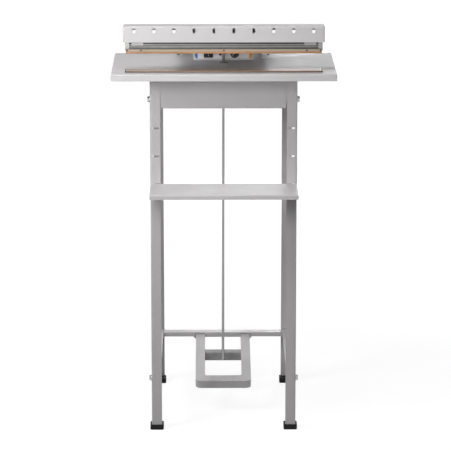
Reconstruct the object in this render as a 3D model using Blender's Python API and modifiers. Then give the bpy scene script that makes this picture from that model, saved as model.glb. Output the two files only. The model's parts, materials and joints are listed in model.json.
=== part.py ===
"""Foot pedal heat sealer: a stand with a shelf, a table with the lower jaw, a hinged arm with the upper
jaw, a control console, and a pedal that pulls the arm down by a rod. Metres, +Z up, the front faces -Y."""

import math

import bmesh
import bpy
from mathutils import Matrix, Vector

# Common clearances and stock
GAP = 0.0003
OVERRUN = 0.006
SHEET = 0.002
THIN_SHEET = 0.0015
ARC_STEPS = 4
HOLE_SIDES = 12
ROUND_SIDES = 20
SCREW_SIDES = 10
SHARP_DEG = 35
WELD = 1e-6

# Stand
STAND_WIDTH = 0.381
STAND_DEPTH = 0.442
TABLE_HEIGHT = 0.980
LEG_FLANGE = 0.027
LEG_BEND = 0.004
BOOT_WALL = 0.004
BOOT_SOLE = 0.004
BOOT_HEIGHT = 0.014
APRON_HEIGHT = 0.110
APRON_FLANGE = 0.025
APRON_END_GAP = 0.003
APRON_TAB_LAP = 0.012
LOW_RAIL_TOP = 0.1515
LOW_RAIL_HEIGHT = 0.025
LOW_RAIL_FLANGE = 0.022
CROSSBAR_DEPTH = 0.030
CROSSBAR_HEIGHT = 0.012
BOLT_RADIUS = 0.003
BOLT_CLEARANCE = 0.0004
BOLT_HEAD_ACROSS = 0.0125
BOLT_HEAD_THICK = 0.0055
BOLT_TIP = 0.004
UPPER_BOLT_DROP = 0.090
BOLT_INSET = 0.016

# Shelf and its slots in the front legs
SHELF_DEPTH = 0.134
SHELF_LIP = 0.012
SHELF_TOP = 0.670
SHELF_BEND = 0.003
SLOT_LENGTH = 0.017
SLOT_HEIGHT = 0.0042
SLOT_PITCH = 0.074
SLOT_COUNT = 3
SLOT_INSET = 0.0155
HOOK_WIDTH = 0.012
HOOK_DEPTH = 0.006
HOOK_DROP = 0.010

# Table and rear deck
TABLE_WIDTH = 0.572
TABLE_DEPTH = 0.313
TABLE_OVERHANG = 0.121
TABLE_LIP = 0.018
TABLE_BEND = 0.003

# Lower jaw
SEAL_LENGTH = 0.500
SEAL_BACKSET = 0.041
LOWER_JAW_DEPTH = 0.030
LOWER_BASE_HEIGHT = 0.0022
RUBBER_HEIGHT = 0.0008
RUBBER_DEPTH = 0.020
CLOTH = 0.0005
CLOTH_BEND = 0.001
END_CAP = 0.002

# Upper jaw
JAW_GAP = 0.0422
JAW_SLANT_DEG = 5.0
NOSE_HEIGHT = 0.0073
RIBBON_WIDTH = 0.005
RIBBON_THICK = 0.0004
CLAMP_HEIGHT = 0.0055
CLAMP_THICK = 0.003
JAW_BAR_HEIGHT = 0.038
JAW_BAR_DEPTH = 0.024
JAW_FOOT_HEIGHT = 0.004
JAW_RECESS_DEPTH = 0.007
JAW_RECESS_HEIGHT = 0.026
JAW_RIBS = 2
JAW_RIB_RISE = 0.0045
JAW_RIB_PITCH = 0.006
JAW_RIB_HEIGHT = 0.002
JAW_RIB_PROUD = 0.003
END_BLOCK = 0.011
TENSIONER_LENGTH = 0.030
TENSIONER_HEIGHT = 0.0105
TENSIONER_DEPTH = 0.0034
TENSIONER_RISE = 0.009
TENSIONER_INSET = 0.0165
TENSIONER_CORNER = 0.002

# Cover over the upper jaw
COVER_WIDTH = 0.509
COVER_HEIGHT = 0.0416
COVER_RISE = 0.0193
COVER_DEPTH = 0.0375
COVER_REAR_LIP = 0.016
COVER_BEND = 0.004
COVER_SLOTS = 10
COVER_SLOT_PITCH = 0.0503
COVER_SLOT_WIDTH = 0.0075
COVER_SLOT_HEIGHT = 0.0135
COVER_SLOT_DROP = 0.0052

# Arm hood and rear hinge
HOOD_WIDTH = 0.234
HOOD_FRONT_TOP_DROP = 0.006
HOOD_REAR_TOP = 0.036
HOOD_FRONT_LOW = 0.0605
HOOD_REAR_LOW = 0.008
HOOD_TAIL = 0.017
ARM_HINGE_BACKSET = 0.041
ARM_HINGE_HEIGHT = 0.023
HINGE_PIN_RADIUS = 0.005
HINGE_PIN_PROUD = 0.005
HINGE_PIN_HEAD_RADIUS = 0.008
HINGE_PIN_HEAD = 0.003
HINGE_EAR = 0.003
HINGE_EAR_WIDTH = 0.030
HINGE_EAR_EDGE = 0.009
HINGE_FOOT = 0.022
HINGE_CLEARANCE = 0.0004

# Return springs
SPRING_OFFSET = 0.097
SPRING_FROM_HINGE = 0.135
SPRING_RADIUS = 0.0075
SPRING_WIRE = 0.0009
SPRING_TURNS = 5
SPRING_STEPS = 8
POST_RADIUS = 0.004
POST_HEIGHT = 0.028

# Pull rod
ROD_RADIUS = 0.0035
ROD_BEND = 0.0045
ROD_TAIL_PROUD = 0.002
ROD_TOP_CLEARANCE = 0.0005
ROD_LOW_CLEARANCE = 0.0015
ROD_TOP_GAP = 0.0012
ROD_LOW_GAP = 0.0055
ROD_TABLE_SETBACK = 0.170
ROD_TOP_HEIGHT = 0.050
CLIP_RADIUS = 0.0062
CLIP_THICK = 0.002
CLIP_TOP_GAP = 0.0007
CLIP_LOW_GAP = 0.0018
ROD_BRACKET_WIDTH = 0.036
ROD_BRACKET_SHEET = 0.003
ROD_BRACKET_BEND = 0.004
ROD_BRACKET_EDGE = 0.010
ROD_BRACKET_FLANGE = 0.018
BUSH_SLOT_LENGTH = 0.025
BUSH_SLOT_WIDTH = 0.010
BUSH_SETBACK = 0.1655
BUSH_WALL = 0.002
BUSH_DEPTH = 0.004
BUSH_RIM = 0.0035
BUSH_RIM_THICK = 0.0018

# Pedal
PEDAL_WIDTH = 0.150
PEDAL_ARM = 0.0255
PEDAL_LENGTH = 0.297
PEDAL_FRONT_BAR = 0.033
PEDAL_LIP = 0.022
PEDAL_CORNER = 0.014
PEDAL_SLOPE_DEG = 10.4
PEDAL_HINGE_FORWARD = 0.0135
PEDAL_HINGE_HEIGHT = 0.1345
PEDAL_TOP_OFFSET = 0.0122
PEDAL_PLATE_SETBACK = 0.011
PEDAL_EAR_RADIUS = 0.0075
PEDAL_EAR = 0.003
PEDAL_EAR_LAP = 0.012
PEDAL_NOTCH_CLEARANCE = 0.0015
PEDAL_PIN_RADIUS = 0.004
PEDAL_PIN_PROUD = 0.003
PEDAL_CLEARANCE = 0.0004
PEDAL_HANGER = 0.003
PEDAL_HANGER_WIDTH = 0.0165
CROSS_PLATE_REACH = 0.125
CROSS_PLATE_DEPTH = 0.020
CROSS_PLATE_HEIGHT = 0.024
CROSS_PLATE_LAP = 0.012
ROD_HOLE_DROP = 0.016

# Control console
CONSOLE_WIDTH = 0.156
CONSOLE_FRONT = 0.203
CONSOLE_DEPTH = 0.240
CONSOLE_HEIGHT = 0.038
CONSOLE_LEAN_DEG = 18.0
PANEL_WIDTH = 0.151
PANEL_HEIGHT = 0.036
PANEL_THICK = 0.0008
PANEL_CORNER = 0.003
CONTROL_HEIGHT = 0.016
KNOB_X = 0.029
KNOB_RADIUS = 0.0113
KNOB_LENGTH = 0.014
KNOB_SKIRT = 0.0015
KNOB_LIFT = 0.0005
KNOB_GRIPS = 12
KNOB_GRIP_DEPTH = 0.0012
SHAFT_RADIUS = 0.003
SHAFT_LENGTH = 0.012
SHAFT_CLEARANCE = 0.0003
DIAL_BODY_RADIUS = 0.008
DIAL_BODY_LENGTH = 0.009
ROCKER_X = -0.039
ROCKER_WIDTH = 0.018
ROCKER_HEIGHT = 0.013
ROCKER_FRAME = 0.002
ROCKER_FRAME_THICK = 0.002
ROCKER_BODY_DEPTH = 0.014
ROCKER_PROUD = 0.0025
ROCKER_CLEARANCE = 0.001
ROCKER_WALL = 0.0012
ROCKER_TILT_DEG = 8.0
ROCKER_HOLLOW = 0.0012
ROCKER_PIVOT_DEPTH = 0.004
LAMP_X = -0.008
LAMP_RADIUS = 0.003
LAMP_PROUD = 0.0018
LAMP_BODY = 0.010
LAMP_RIM = 0.001
BOARD_WIDTH = 0.110
BOARD_DEPTH = 0.080
BOARD_THICK = 0.0016
BOARD_SETBACK = 0.050
STANDOFF_HEIGHT = 0.006
STANDOFF_RADIUS = 0.003
GLAND_X = -0.045
GLAND_RADIUS = 0.008
GLAND_NECK = 0.006
GLAND_BORE = 0.0035
GLAND_LENGTH = 0.016
GLAND_NUT = 0.004

# Micro switch beside the console
SWITCH_SETBACK = 0.030
SWITCH_WIDTH = 0.010
SWITCH_DEPTH = 0.028
SWITCH_HEIGHT = 0.016
SWITCH_RISE = 0.0009
SWITCH_PLATE = 0.002
SWITCH_PLATE_DROP = 0.018
PLUNGER_RADIUS = 0.002
PLUNGER_PROUD = 0.0025
PLUNGER_DEPTH = 0.006
PLUNGER_CLEARANCE = 0.0003

# Transformer under the rear deck
CORE_WIDTH = 0.078
CORE_DEPTH = 0.030
CORE_HEIGHT = 0.064
CORE_SETBACK = 0.110
CORE_X = 0.055
COIL_WIDTH = 0.046
COIL_DEPTH = 0.058
COIL_HEIGHT = 0.038
COIL_CORNER = 0.006
CORE_LIMB = 0.020

# Places worked out from the sizes
overall_depth = SHELF_DEPTH + GAP + STAND_DEPTH + BOOT_WALL + GAP
front_limit = -overall_depth / 2
stand_front = front_limit + SHELF_DEPTH + GAP
stand_back = stand_front + STAND_DEPTH
half_stand = STAND_WIDTH / 2
table_front = stand_front - TABLE_OVERHANG
table_back = table_front + TABLE_DEPTH
table_under = TABLE_HEIGHT - THIN_SHEET
apron_bottom = table_under - GAP - APRON_HEIGHT
seal_y = table_front + SEAL_BACKSET
lower_jaw_top = TABLE_HEIGHT + 3 * GAP + LOWER_BASE_HEIGHT + RUBBER_HEIGHT + CLOTH
upper_jaw_low = lower_jaw_top + JAW_GAP
ribbon_low = upper_jaw_low + CLOTH + GAP
nose_low = ribbon_low + RIBBON_THICK + GAP
jaw_bar_bottom = nose_low + NOSE_HEIGHT + GAP
jaw_bar_top = jaw_bar_bottom + JAW_BAR_HEIGHT
jaw_bar_front = seal_y - JAW_BAR_DEPTH / 2
jaw_bar_back = seal_y + JAW_BAR_DEPTH / 2
cover_low = jaw_bar_bottom + JAW_FOOT_HEIGHT + COVER_RISE
cover_top = cover_low + COVER_HEIGHT
cover_front = jaw_bar_back - COVER_DEPTH
hood_front = jaw_bar_back + GAP
hood_front_top = cover_top - HOOD_FRONT_TOP_DROP
hinge_y = stand_back - ARM_HINGE_BACKSET
hinge_z = TABLE_HEIGHT + ARM_HINGE_HEIGHT


def start_scene():
    """Empties the file and makes one collection for the parts and one for the cutters."""
    for thing in list(bpy.data.objects):
        bpy.data.objects.remove(thing)
    made = []
    for title in ("foot_pedal_heat_sealer", "cutters"):
        group = bpy.data.collections.new(title)
        bpy.context.scene.collection.children.link(group)
        made.append(group)
    made[1].hide_render = True
    return made


parts, cutters = start_scene()


def finish(name, color, roughness, metallic=0.0):
    """A plain Principled material."""
    made = bpy.data.materials.new(name)
    made.use_nodes = True
    shader = made.node_tree.nodes["Principled BSDF"]
    shader.inputs["Base Color"].default_value = (*color, 1.0)
    shader.inputs["Roughness"].default_value = roughness
    shader.inputs["Metallic"].default_value = metallic
    return made


def keep(name, mesh, material=None, place=None):
    """Makes an object of a mesh: a part where it has a material, and otherwise a cutter."""
    made = bpy.data.objects.new(name, mesh)
    if material:
        mesh.materials.append(material)
        parts.objects.link(made)
    else:
        cutters.objects.link(made)
        made.hide_render = True
        made.display_type = "WIRE"
    if place is not None:
        made.matrix_world = place
    return made


def shaped(name, shape, material=None, place=None):
    """Turns a finished bmesh into an object, with its round sides shaded smooth."""
    bmesh.ops.recalc_face_normals(shape, faces=shape.faces)
    mesh = bpy.data.meshes.new(name)
    shape.to_mesh(mesh)
    shape.free()
    mesh.shade_smooth()
    mesh.set_sharp_from_angle(angle=math.radians(SHARP_DEG))
    return keep(name, mesh, material, place)


def add_block(shape, low, high):
    """Adds a box between two corners."""
    middle = (Vector(low) + Vector(high)) / 2
    size = Vector(high) - Vector(low)
    made = bmesh.ops.create_cube(shape, size=1.0)
    bmesh.ops.scale(shape, vec=size, verts=made["verts"])
    bmesh.ops.translate(shape, vec=middle, verts=made["verts"])


def add_drum(shape, place, radius, length, sides=ROUND_SIDES):
    """Adds a round or many-sided bar that runs from z 0 to length in the given place."""
    bmesh.ops.create_cone(
        shape,
        cap_ends=True,
        segments=sides,
        radius1=radius,
        radius2=radius,
        depth=length,
        matrix=place @ Matrix.Translation((0, 0, length / 2)),
    )


def box(name, low, high, material=None):
    """A box whose origin is its centre."""
    middle = (Vector(low) + Vector(high)) / 2
    shape = bmesh.new()
    add_block(shape, Vector(low) - middle, Vector(high) - middle)
    return shaped(name, shape, material, Matrix.Translation(middle))


def drum(name, place, radius, length, material=None, sides=ROUND_SIDES):
    """A round bar along the place's z axis."""
    shape = bmesh.new()
    add_drum(shape, Matrix.Identity(4), radius, length, sides)
    return shaped(name, shape, material, place)


def axes(origin, across, up):
    """A place whose x runs along across, whose y runs along up, and whose z is square to both."""
    across = Vector(across).normalized()
    up = Vector(up).normalized()
    out = across.cross(up)
    place = Matrix((across, up, out)).transposed().to_4x4()
    place.translation = Vector(origin)
    return place


def section_x(x=0.0):
    """The place of an outline drawn in Y and Z, with its thickness along X."""
    return axes((x, 0, 0), (0, 1, 0), (0, 0, 1))


def section_y(y=0.0):
    """The place of an outline drawn in X and Z, with its thickness along Y."""
    return axes((0, y, 0), (1, 0, 0), (0, 0, 1))


def section_z(z=0.0):
    """The place of an outline drawn in X and Y, with its thickness along Z."""
    return Matrix.Translation((0, 0, z))


def mesh_of(name, curve, place, material):
    """Turns a curve into a welded mesh object."""
    drawn = bpy.data.objects.new(name, curve)
    bpy.context.scene.collection.objects.link(drawn)
    graph = bpy.context.evaluated_depsgraph_get()
    mesh = bpy.data.meshes.new_from_object(drawn.evaluated_get(graph))
    bpy.data.objects.remove(drawn)
    bpy.data.curves.remove(curve)
    shape = bmesh.new()
    shape.from_mesh(mesh)
    bpy.data.meshes.remove(mesh)
    bmesh.ops.remove_doubles(shape, verts=shape.verts, dist=WELD)
    return shaped(name, shape, material, place)


def slab(name, outlines, thickness, place, material=None):
    """A flat outline, with its holes, given a thickness about its plane."""
    curve = bpy.data.curves.new(name, "CURVE")
    curve.dimensions = "2D"
    curve.fill_mode = "BOTH"
    curve.extrude = thickness / 2
    for outline in outlines:
        spline = curve.splines.new("POLY")
        spline.points.add(len(outline) - 1)
        for point, (u, v) in zip(spline.points, outline):
            point.co = (u, v, 0, 1)
        spline.use_cyclic_u = True
    return mesh_of(name, curve, place, material)


def cut(target, cutter):
    """Takes the cutter's shape out of the target."""
    change = target.modifiers.new(cutter.name, "BOOLEAN")
    change.operation = "DIFFERENCE"
    change.object = cutter


def fuse(target, other):
    """Joins the other shape to the target as one body."""
    change = target.modifiers.new(other.name, "BOOLEAN")
    change.operation = "UNION"
    change.object = other


def arc(middle, radius, start_deg, end_deg, steps=ARC_STEPS):
    """Points along a round corner."""
    turned = [math.radians(start_deg + (end_deg - start_deg) * i / steps) for i in range(steps + 1)]
    return [(middle[0] + radius * math.cos(a), middle[1] + radius * math.sin(a)) for a in turned]


def ring(middle, radius, sides=HOLE_SIDES):
    """The outline of a round hole."""
    return arc(middle, radius, 0, 360, sides)[:-1]


def rectangle(left, right, low, high):
    """The outline of a plain rectangle."""
    return [(left, low), (right, low), (right, high), (left, high)]


def rounded(left, right, low, high, radius, steps=ARC_STEPS):
    """The outline of a rectangle with round corners."""
    corners = (
        (right - radius, high - radius, 0),
        (left + radius, high - radius, 90),
        (left + radius, low + radius, 180),
        (right - radius, low + radius, 270),
    )
    outline = []
    for u, v, turn in corners:
        outline += arc((u, v), radius, turn, turn + 90, steps)
    return outline


def angle_outline(width, depth, sheet, bend):
    """The section of a bent angle with its outer corner at zero, one leaf along u and one along v."""
    outer = arc((bend, bend), bend, 270, 180)
    inner = arc((bend, bend), bend - sheet, 180, 270)
    return [(width, 0), *outer, (0, depth), (sheet, depth), *inner, (width, sheet)]


def flipped(outline, u_sign, v_sign, shift=(0.0, 0.0)):
    """An outline mirrored by its signs, then moved."""
    return [(u * u_sign + shift[0], v * v_sign + shift[1]) for u, v in outline]


def axis_at(name, place):
    """An empty on a joint's axis."""
    made = bpy.data.objects.new(name, None)
    parts.objects.link(made)
    made.matrix_world = place
    return made


def carry(axis, *pieces):
    """Parents pieces, with the cutters that shape them, to a joint's empty where they stand."""
    bpy.context.view_layer.update()
    shapers = [change.object for piece in pieces for change in piece.modifiers if change.type == "BOOLEAN"]
    for thing in (*pieces, *shapers):
        stands = thing.matrix_world.copy()
        thing.parent = axis
        thing.matrix_parent_inverse = axis.matrix_world.inverted()
        thing.matrix_world = stands


def headed_pin(name, place, head, shank, material):
    """A pin with a head: each is a radius and a length, and the head stands on z 0."""
    made = drum(name, place, *head, material)
    start = place @ Matrix.Translation((0, 0, -shank[1]))
    fuse(made, drum(name + "_shank", start, shank[0], shank[1] + head[1] / 2))
    return made


def helix(middle, radius, turns, height, steps):
    """Points up a coil that stands on middle."""
    count = int(turns * steps)
    points = []
    for i in range(count + 1):
        turn = 2 * math.pi * i / steps
        rise = height * i / count
        points.append(Vector(middle) + Vector((radius * math.cos(turn), radius * math.sin(turn), rise)))
    return points


def solid_wire(name, points, radius, resolution, material=None):
    """A round bar along points, with filled ends, as a mesh."""
    curve = bpy.data.curves.new(name, "CURVE")
    curve.dimensions = "3D"
    curve.bevel_depth = radius
    curve.bevel_resolution = resolution
    curve.use_fill_caps = True
    spline = curve.splines.new("POLY")
    spline.points.add(len(points) - 1)
    for point, place in zip(spline.points, points):
        point.co = (*place, 1)
    return mesh_of(name, curve, None, material)


def bent(points, radius, steps=ARC_STEPS):
    """A line of points with a round bend at each inner point."""
    path = [Vector(points[0])]
    for before, corner, after in zip(points, points[1:], points[2:]):
        corner = Vector(corner)
        towards = (Vector(before) - corner).normalized()
        away = (Vector(after) - corner).normalized()
        half = towards.angle(away) / 2
        run = radius / math.tan(half)
        middle = corner + (towards + away).normalized() * (radius / math.sin(half))
        first = (corner + towards * run - middle).normalized()
        last = (corner + away * run - middle).normalized()
        for i in range(steps + 1):
            path.append(middle + first.slerp(last, i / steps) * radius)
    path.append(Vector(points[-1]))
    return path


def strip(points, sheet):
    """The closed outline of a sheet whose one face follows the points; the sheet lies to their left."""
    points = [Vector(point) for point in points]
    ways = [(b - a).normalized() for a, b in zip(points, points[1:])]
    lefts = [Vector((-way.y, way.x)) for way in ways]
    lefts = [lefts[0], *lefts, lefts[-1]]
    inner = []
    for point, one, two in zip(points, lefts, lefts[1:]):
        mitre = (one + two).normalized()
        inner.append(point + mitre * (sheet / mitre.dot(one)))
    return [tuple(point) for point in points] + [tuple(point) for point in reversed(inner)]


def folded(name, points, bend, sheet, left, right, material):
    """A sheet bent along lines that run in X: its face follows points drawn in Y and Z."""
    outline = strip(bent(points, bend), sheet)
    return slab(name, [outline], right - left, section_x((left + right) / 2), material)


def tray(name, low, high, bend, sheet, open_sides, material):
    """A folded tray: a box without its bottom and the sides that open_sides points to."""
    middle = (Vector(low) + Vector(high)) / 2
    shape = bmesh.new()
    add_block(shape, Vector(low) - middle, Vector(high) - middle)
    dropped = []
    for face in shape.faces:
        if any(face.normal.dot(Vector(side)) > 1 - WELD for side in [(0, 0, -1), *open_sides]):
            dropped.append(face)
    bmesh.ops.delete(shape, geom=dropped, context="FACES")
    folds = [edge for edge in shape.edges if len(edge.link_faces) == 2]
    bmesh.ops.bevel(shape, geom=folds, offset=bend, segments=ARC_STEPS, profile=0.5, affect="EDGES")
    made = shaped(name, shape, material, Matrix.Translation(middle))
    wall = made.modifiers.new("sheet", "SOLIDIFY")
    wall.thickness = sheet
    wall.offset = -1
    wall.use_even_offset = True
    return made


def drill(cutter_name, places, radius, depth, *targets):
    """Bores a hole at each place, from just above it down to the depth, through every target."""
    holes = bmesh.new()
    for place in places:
        start = place @ Matrix.Translation((0, 0, -depth))
        add_drum(holes, start, radius, depth + OVERRUN, HOLE_SIDES)
    cutter = shaped(cutter_name, holes)
    for target in targets:
        cut(target, cutter)


def group(name, shapes):
    """Several shapes that stand apart as one cutter."""
    joined = bmesh.new()
    for made in shapes:
        mesh = made.data
        mesh.transform(made.matrix_world)
        joined.from_mesh(mesh)
        bpy.data.objects.remove(made)
        bpy.data.meshes.remove(mesh)
    return shaped(name, joined)


def mirrored(places):
    """Each place and its copy on the other side of the middle plane."""
    return [place for x, y, z in places for place in ((x, y, z), (-x, y, z))]


painted_steel = finish("painted_steel", (0.58, 0.56, 0.57), 0.42)
zinc_steel = finish("zinc_steel", (0.62, 0.62, 0.60), 0.32, 0.9)
spring_steel = finish("spring_steel", (0.45, 0.45, 0.46), 0.28, 1.0)
aluminium = finish("aluminium", (0.72, 0.70, 0.67), 0.35, 0.7)
black_rubber = finish("black_rubber", (0.02, 0.02, 0.021), 0.75)
black_plastic = finish("black_plastic", (0.03, 0.03, 0.032), 0.4)
release_cloth = finish("release_cloth", (0.44, 0.20, 0.07), 0.5)
pale_rubber = finish("silicone_rubber", (0.62, 0.50, 0.42), 0.6)
laminate = finish("insulating_laminate", (0.50, 0.36, 0.22), 0.55)
heater_alloy = finish("heater_alloy", (0.50, 0.48, 0.45), 0.3, 1.0)
white_print = finish("panel_white", (0.82, 0.82, 0.83), 0.45)
lamp_lens = finish("lamp_lens", (0.55, 0.10, 0.03), 0.25)
circuit_board = finish("circuit_board", (0.05, 0.24, 0.11), 0.5)
core_steel = finish("core_steel", (0.20, 0.20, 0.22), 0.5, 0.6)
winding = finish("copper_winding", (0.55, 0.22, 0.07), 0.4, 0.5)


# Stand: four angle legs in rubber boots, aprons under the table, low rails and a crossbar

inner_wall = half_stand - SHEET - GAP
rail_wall = inner_wall - SHEET - GAP
apron_half = half_stand - LEG_FLANGE - APRON_END_GAP
apron_top = table_under - GAP
panel_front = stand_front + LEG_BEND + GAP
panel_back = stand_back - LEG_BEND - GAP
bolt_rows = (stand_front + BOLT_INSET, stand_back - BOLT_INSET)
bolt_heights = (TABLE_HEIGHT - UPPER_BOLT_DROP, LOW_RAIL_TOP - LOW_RAIL_HEIGHT / 2)
hook_top = SHELF_TOP - SHEET / 4


def facing(origin, direction):
    """A place whose z axis points along a direction that has no part in X."""
    across = Vector((-1, 0, 0))
    return axes(origin, across, Vector(direction).cross(across))


def outwards(x, y, z):
    """A place on one side of the stand whose z axis points away from the middle."""
    side = math.copysign(1, x)
    return axes((x, y, z), (0, side, 0), (0, 0, 1))


def stadium(middle, length, width):
    """A slot's outline: its length runs along v, and its ends are round."""
    radius = width / 2
    run = length / 2 - radius
    upper = arc((middle[0], middle[1] + run), radius, 0, 180)
    lower = arc((middle[0], middle[1] - run), radius, 180, 360)
    return upper + lower


def corner_of(x_sign, y_sign):
    """A leg's outer corner in the plan; y_sign points from it into the stand."""
    return (x_sign * half_stand, stand_front if y_sign > 0 else stand_back)


def stand_bolts(name, places):
    """Hexagon bolts as two shapes to join to a leg: the heads and the shanks."""
    heads = bmesh.new()
    shanks = bmesh.new()
    length = 2 * SHEET + 2 * GAP + BOLT_TIP
    for place in places:
        inside = place @ Matrix.Translation((0, 0, -SHEET / 2))
        add_drum(heads, inside, BOLT_HEAD_ACROSS / math.sqrt(3), BOLT_HEAD_THICK + SHEET / 2, 6)
        start = place @ Matrix.Translation((0, 0, -length))
        add_drum(shanks, start, BOLT_RADIUS, length + BOLT_HEAD_THICK / 2, SCREW_SIDES)
    return shaped(name + "_bolt_heads", heads), shaped(name + "_bolt_shanks", shanks)


def leg(name, x_sign, y_sign):
    """A leg of bent angle with its corner outwards, joined to its two bolts."""
    corner = corner_of(x_sign, y_sign)
    outline = angle_outline(LEG_FLANGE, LEG_FLANGE, SHEET, LEG_BEND)
    outline = flipped(outline, -x_sign, y_sign, corner)
    low = BOOT_SOLE + GAP
    made = slab(name, [outline], apron_top - low, section_z((low + apron_top) / 2), painted_steel)
    places = [outwards(corner[0], corner[1] + y_sign * BOLT_INSET, z) for z in bolt_heights]
    for bolts in stand_bolts(name, places):
        fuse(made, bolts)
    return made


def shelf_slots():
    """The rows of slots that the shelf can hook into."""
    shape = bmesh.new()
    for sign in (-1, 1):
        for row in range(SLOT_COUNT):
            middle = Vector((sign * (half_stand - SLOT_INSET), stand_front, 0))
            middle.z = hook_top - SHEET / 2 + row * SLOT_PITCH
            half = Vector((SLOT_LENGTH / 2, OVERRUN, SLOT_HEIGHT / 2))
            add_block(shape, middle - half, middle + half)
    return shaped("shelf_slots", shape)


def boot(name, x_sign, y_sign):
    """A square rubber boot with a pocket for its leg's angle."""
    corner = corner_of(x_sign, y_sign)
    reach = BOOT_WALL + GAP
    outer = rounded(-reach, LEG_FLANGE + reach, -reach, LEG_FLANGE + reach, BOOT_WALL)
    outer = flipped(outer, -x_sign, y_sign, corner)
    made = slab(name, [outer], BOOT_HEIGHT, section_z(BOOT_HEIGHT / 2), black_rubber)
    width = LEG_FLANGE + 2 * GAP
    inner = angle_outline(width, width, SHEET + 2 * GAP, LEG_BEND + GAP)
    inner = flipped([(u - GAP, v - GAP) for u, v in inner], -x_sign, y_sign, corner)
    deep = BOOT_HEIGHT + OVERRUN - BOOT_SOLE
    cut(made, slab(name + "_pocket", [inner], deep, section_z(BOOT_SOLE + deep / 2)))
    return made


def end_apron(name, face, inward):
    """A channel between two legs, with a tab at each end that steps behind the leg."""
    section = [(APRON_FLANGE, apron_top), (0, apron_top), (0, apron_bottom), (APRON_FLANGE, apron_bottom)]
    section = flipped(strip(bent(section, TABLE_BEND), SHEET), inward, 1, (face, 0))
    made = slab(name, [section], 2 * apron_half, section_x(), painted_steel)
    step = SHEET + GAP
    lap = apron_half - APRON_TAB_LAP
    tab = [
        (rail_wall, step),
        (apron_half - SHEET, step),
        (apron_half - SHEET, SHEET / 2),
        (lap, SHEET / 2),
        (lap, step + SHEET),
        (rail_wall, step + SHEET),
    ]
    tall = APRON_HEIGHT - 2 * APRON_TAB_LAP
    for sign in (-1, 1):
        plan = flipped(tab, sign, inward, (0, face))
        fuse(made, slab(f"{name}_tab_{sign}", [plan], tall, section_z((apron_top + apron_bottom) / 2)))
    return made


def side_angle(name, sign, top, flange, height):
    """An angle that runs from front to back inside the legs, with its flange inwards."""
    section = angle_outline(flange, height, SHEET, LEG_BEND)
    section = flipped(section, -sign, -1, (sign * inner_wall, top))
    place = section_y((panel_front + panel_back) / 2)
    return slab(name, [section], panel_back - panel_front, place, painted_steel)


def shelf():
    """A folded tray whose hooks pass through the front legs' lowest slots."""
    low = (-half_stand, front_limit, SHELF_TOP - SHELF_LIP)
    high = (half_stand, stand_front - GAP, SHELF_TOP)
    made = tray("shelf", low, high, SHELF_BEND, SHEET, [], painted_steel)
    behind = stand_front + SHEET + GAP
    hook = [
        (stand_front - HOOK_DEPTH, hook_top),
        (behind + SHEET, hook_top),
        (behind + SHEET, hook_top - HOOK_DROP),
        (behind, hook_top - HOOK_DROP),
        (behind, hook_top - SHEET),
        (stand_front - HOOK_DEPTH, hook_top - SHEET),
    ]
    for sign in (-1, 1):
        place = section_x(sign * (half_stand - SLOT_INSET))
        fuse(made, slab(f"shelf_hook_{sign}", [hook], HOOK_WIDTH, place))
    return made


slots = shelf_slots()
bolt_places = mirrored([(inner_wall, y, z) for y in bolt_rows for z in bolt_heights])
bolt_holes = [outwards(*place) for place in bolt_places]
angles = []
for side, sign in (("left", -1), ("right", 1)):
    cut(leg(f"leg_front_{side}", sign, 1), slots)
    leg(f"leg_rear_{side}", sign, -1)
    boot(f"boot_front_{side}", sign, 1)
    boot(f"boot_rear_{side}", sign, -1)
    angles.append(side_angle(f"apron_{side}", sign, apron_top, APRON_FLANGE, APRON_HEIGHT))
    angles.append(side_angle(f"low_rail_{side}", sign, LOW_RAIL_TOP, LOW_RAIL_FLANGE, LOW_RAIL_HEIGHT))
drill("bolt_holes", bolt_holes, BOLT_RADIUS + BOLT_CLEARANCE, OVERRUN, *angles)
end_apron("apron_front", stand_front, 1)
end_apron("apron_rear", stand_back, -1)
shelf()


# Low crossbar with the pedal's hangers

crossbar_top = LOW_RAIL_TOP - SHEET - GAP
crossbar_low = crossbar_top - CROSSBAR_HEIGHT
crossbar_back = stand_back - SHEET - GAP
crossbar_front = crossbar_back - CROSSBAR_DEPTH
pedal_y = stand_back - PEDAL_HINGE_FORWARD
pedal_z = PEDAL_HINGE_HEIGHT
hanger_inside = PEDAL_WIDTH / 2 + GAP


def channel(front, back, top, low, bend):
    """The section of a channel that opens downwards."""
    return strip(bent([(back, low), (back, top), (front, top), (front, low)], bend), SHEET)


def low_crossbar():
    """A channel between the low rails, notched where the pedal's arms pass, with two hanger plates."""
    section = channel(crossbar_front, crossbar_back, crossbar_top, crossbar_low, TABLE_BEND)
    made = slab("low_crossbar", [section], 2 * (inner_wall - LEG_BEND - GAP), section_x(), painted_steel)
    notches = bmesh.new()
    near = PEDAL_WIDTH / 2 - PEDAL_ARM - PEDAL_NOTCH_CLEARANCE
    far = PEDAL_WIDTH / 2 + PEDAL_NOTCH_CLEARANCE
    for sign in (-1, 1):
        sides = sorted((sign * near, sign * far))
        low = (sides[0], crossbar_front - OVERRUN, crossbar_low - OVERRUN)
        high = (sides[1], crossbar_front + OVERRUN, crossbar_top - TABLE_BEND)
        add_block(notches, low, high)
    cut(made, shaped("pedal_notches", notches))
    half = PEDAL_HANGER_WIDTH / 2
    outline = arc((pedal_y, pedal_z), half, 180, 360, 2 * ARC_STEPS)
    outline += [(pedal_y + half, crossbar_top - SHEET / 2), (pedal_y - half, crossbar_top - SHEET / 2)]
    hole = ring((pedal_y, pedal_z), PEDAL_PIN_RADIUS + PEDAL_CLEARANCE)
    for sign in (-1, 1):
        place = section_x(sign * (hanger_inside + PEDAL_HANGER / 2))
        fuse(made, slab(f"pedal_hanger_{sign}", [outline, hole], PEDAL_HANGER, place))
    return made


low_crossbar()


# Table, rear deck and the rod's bush

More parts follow.
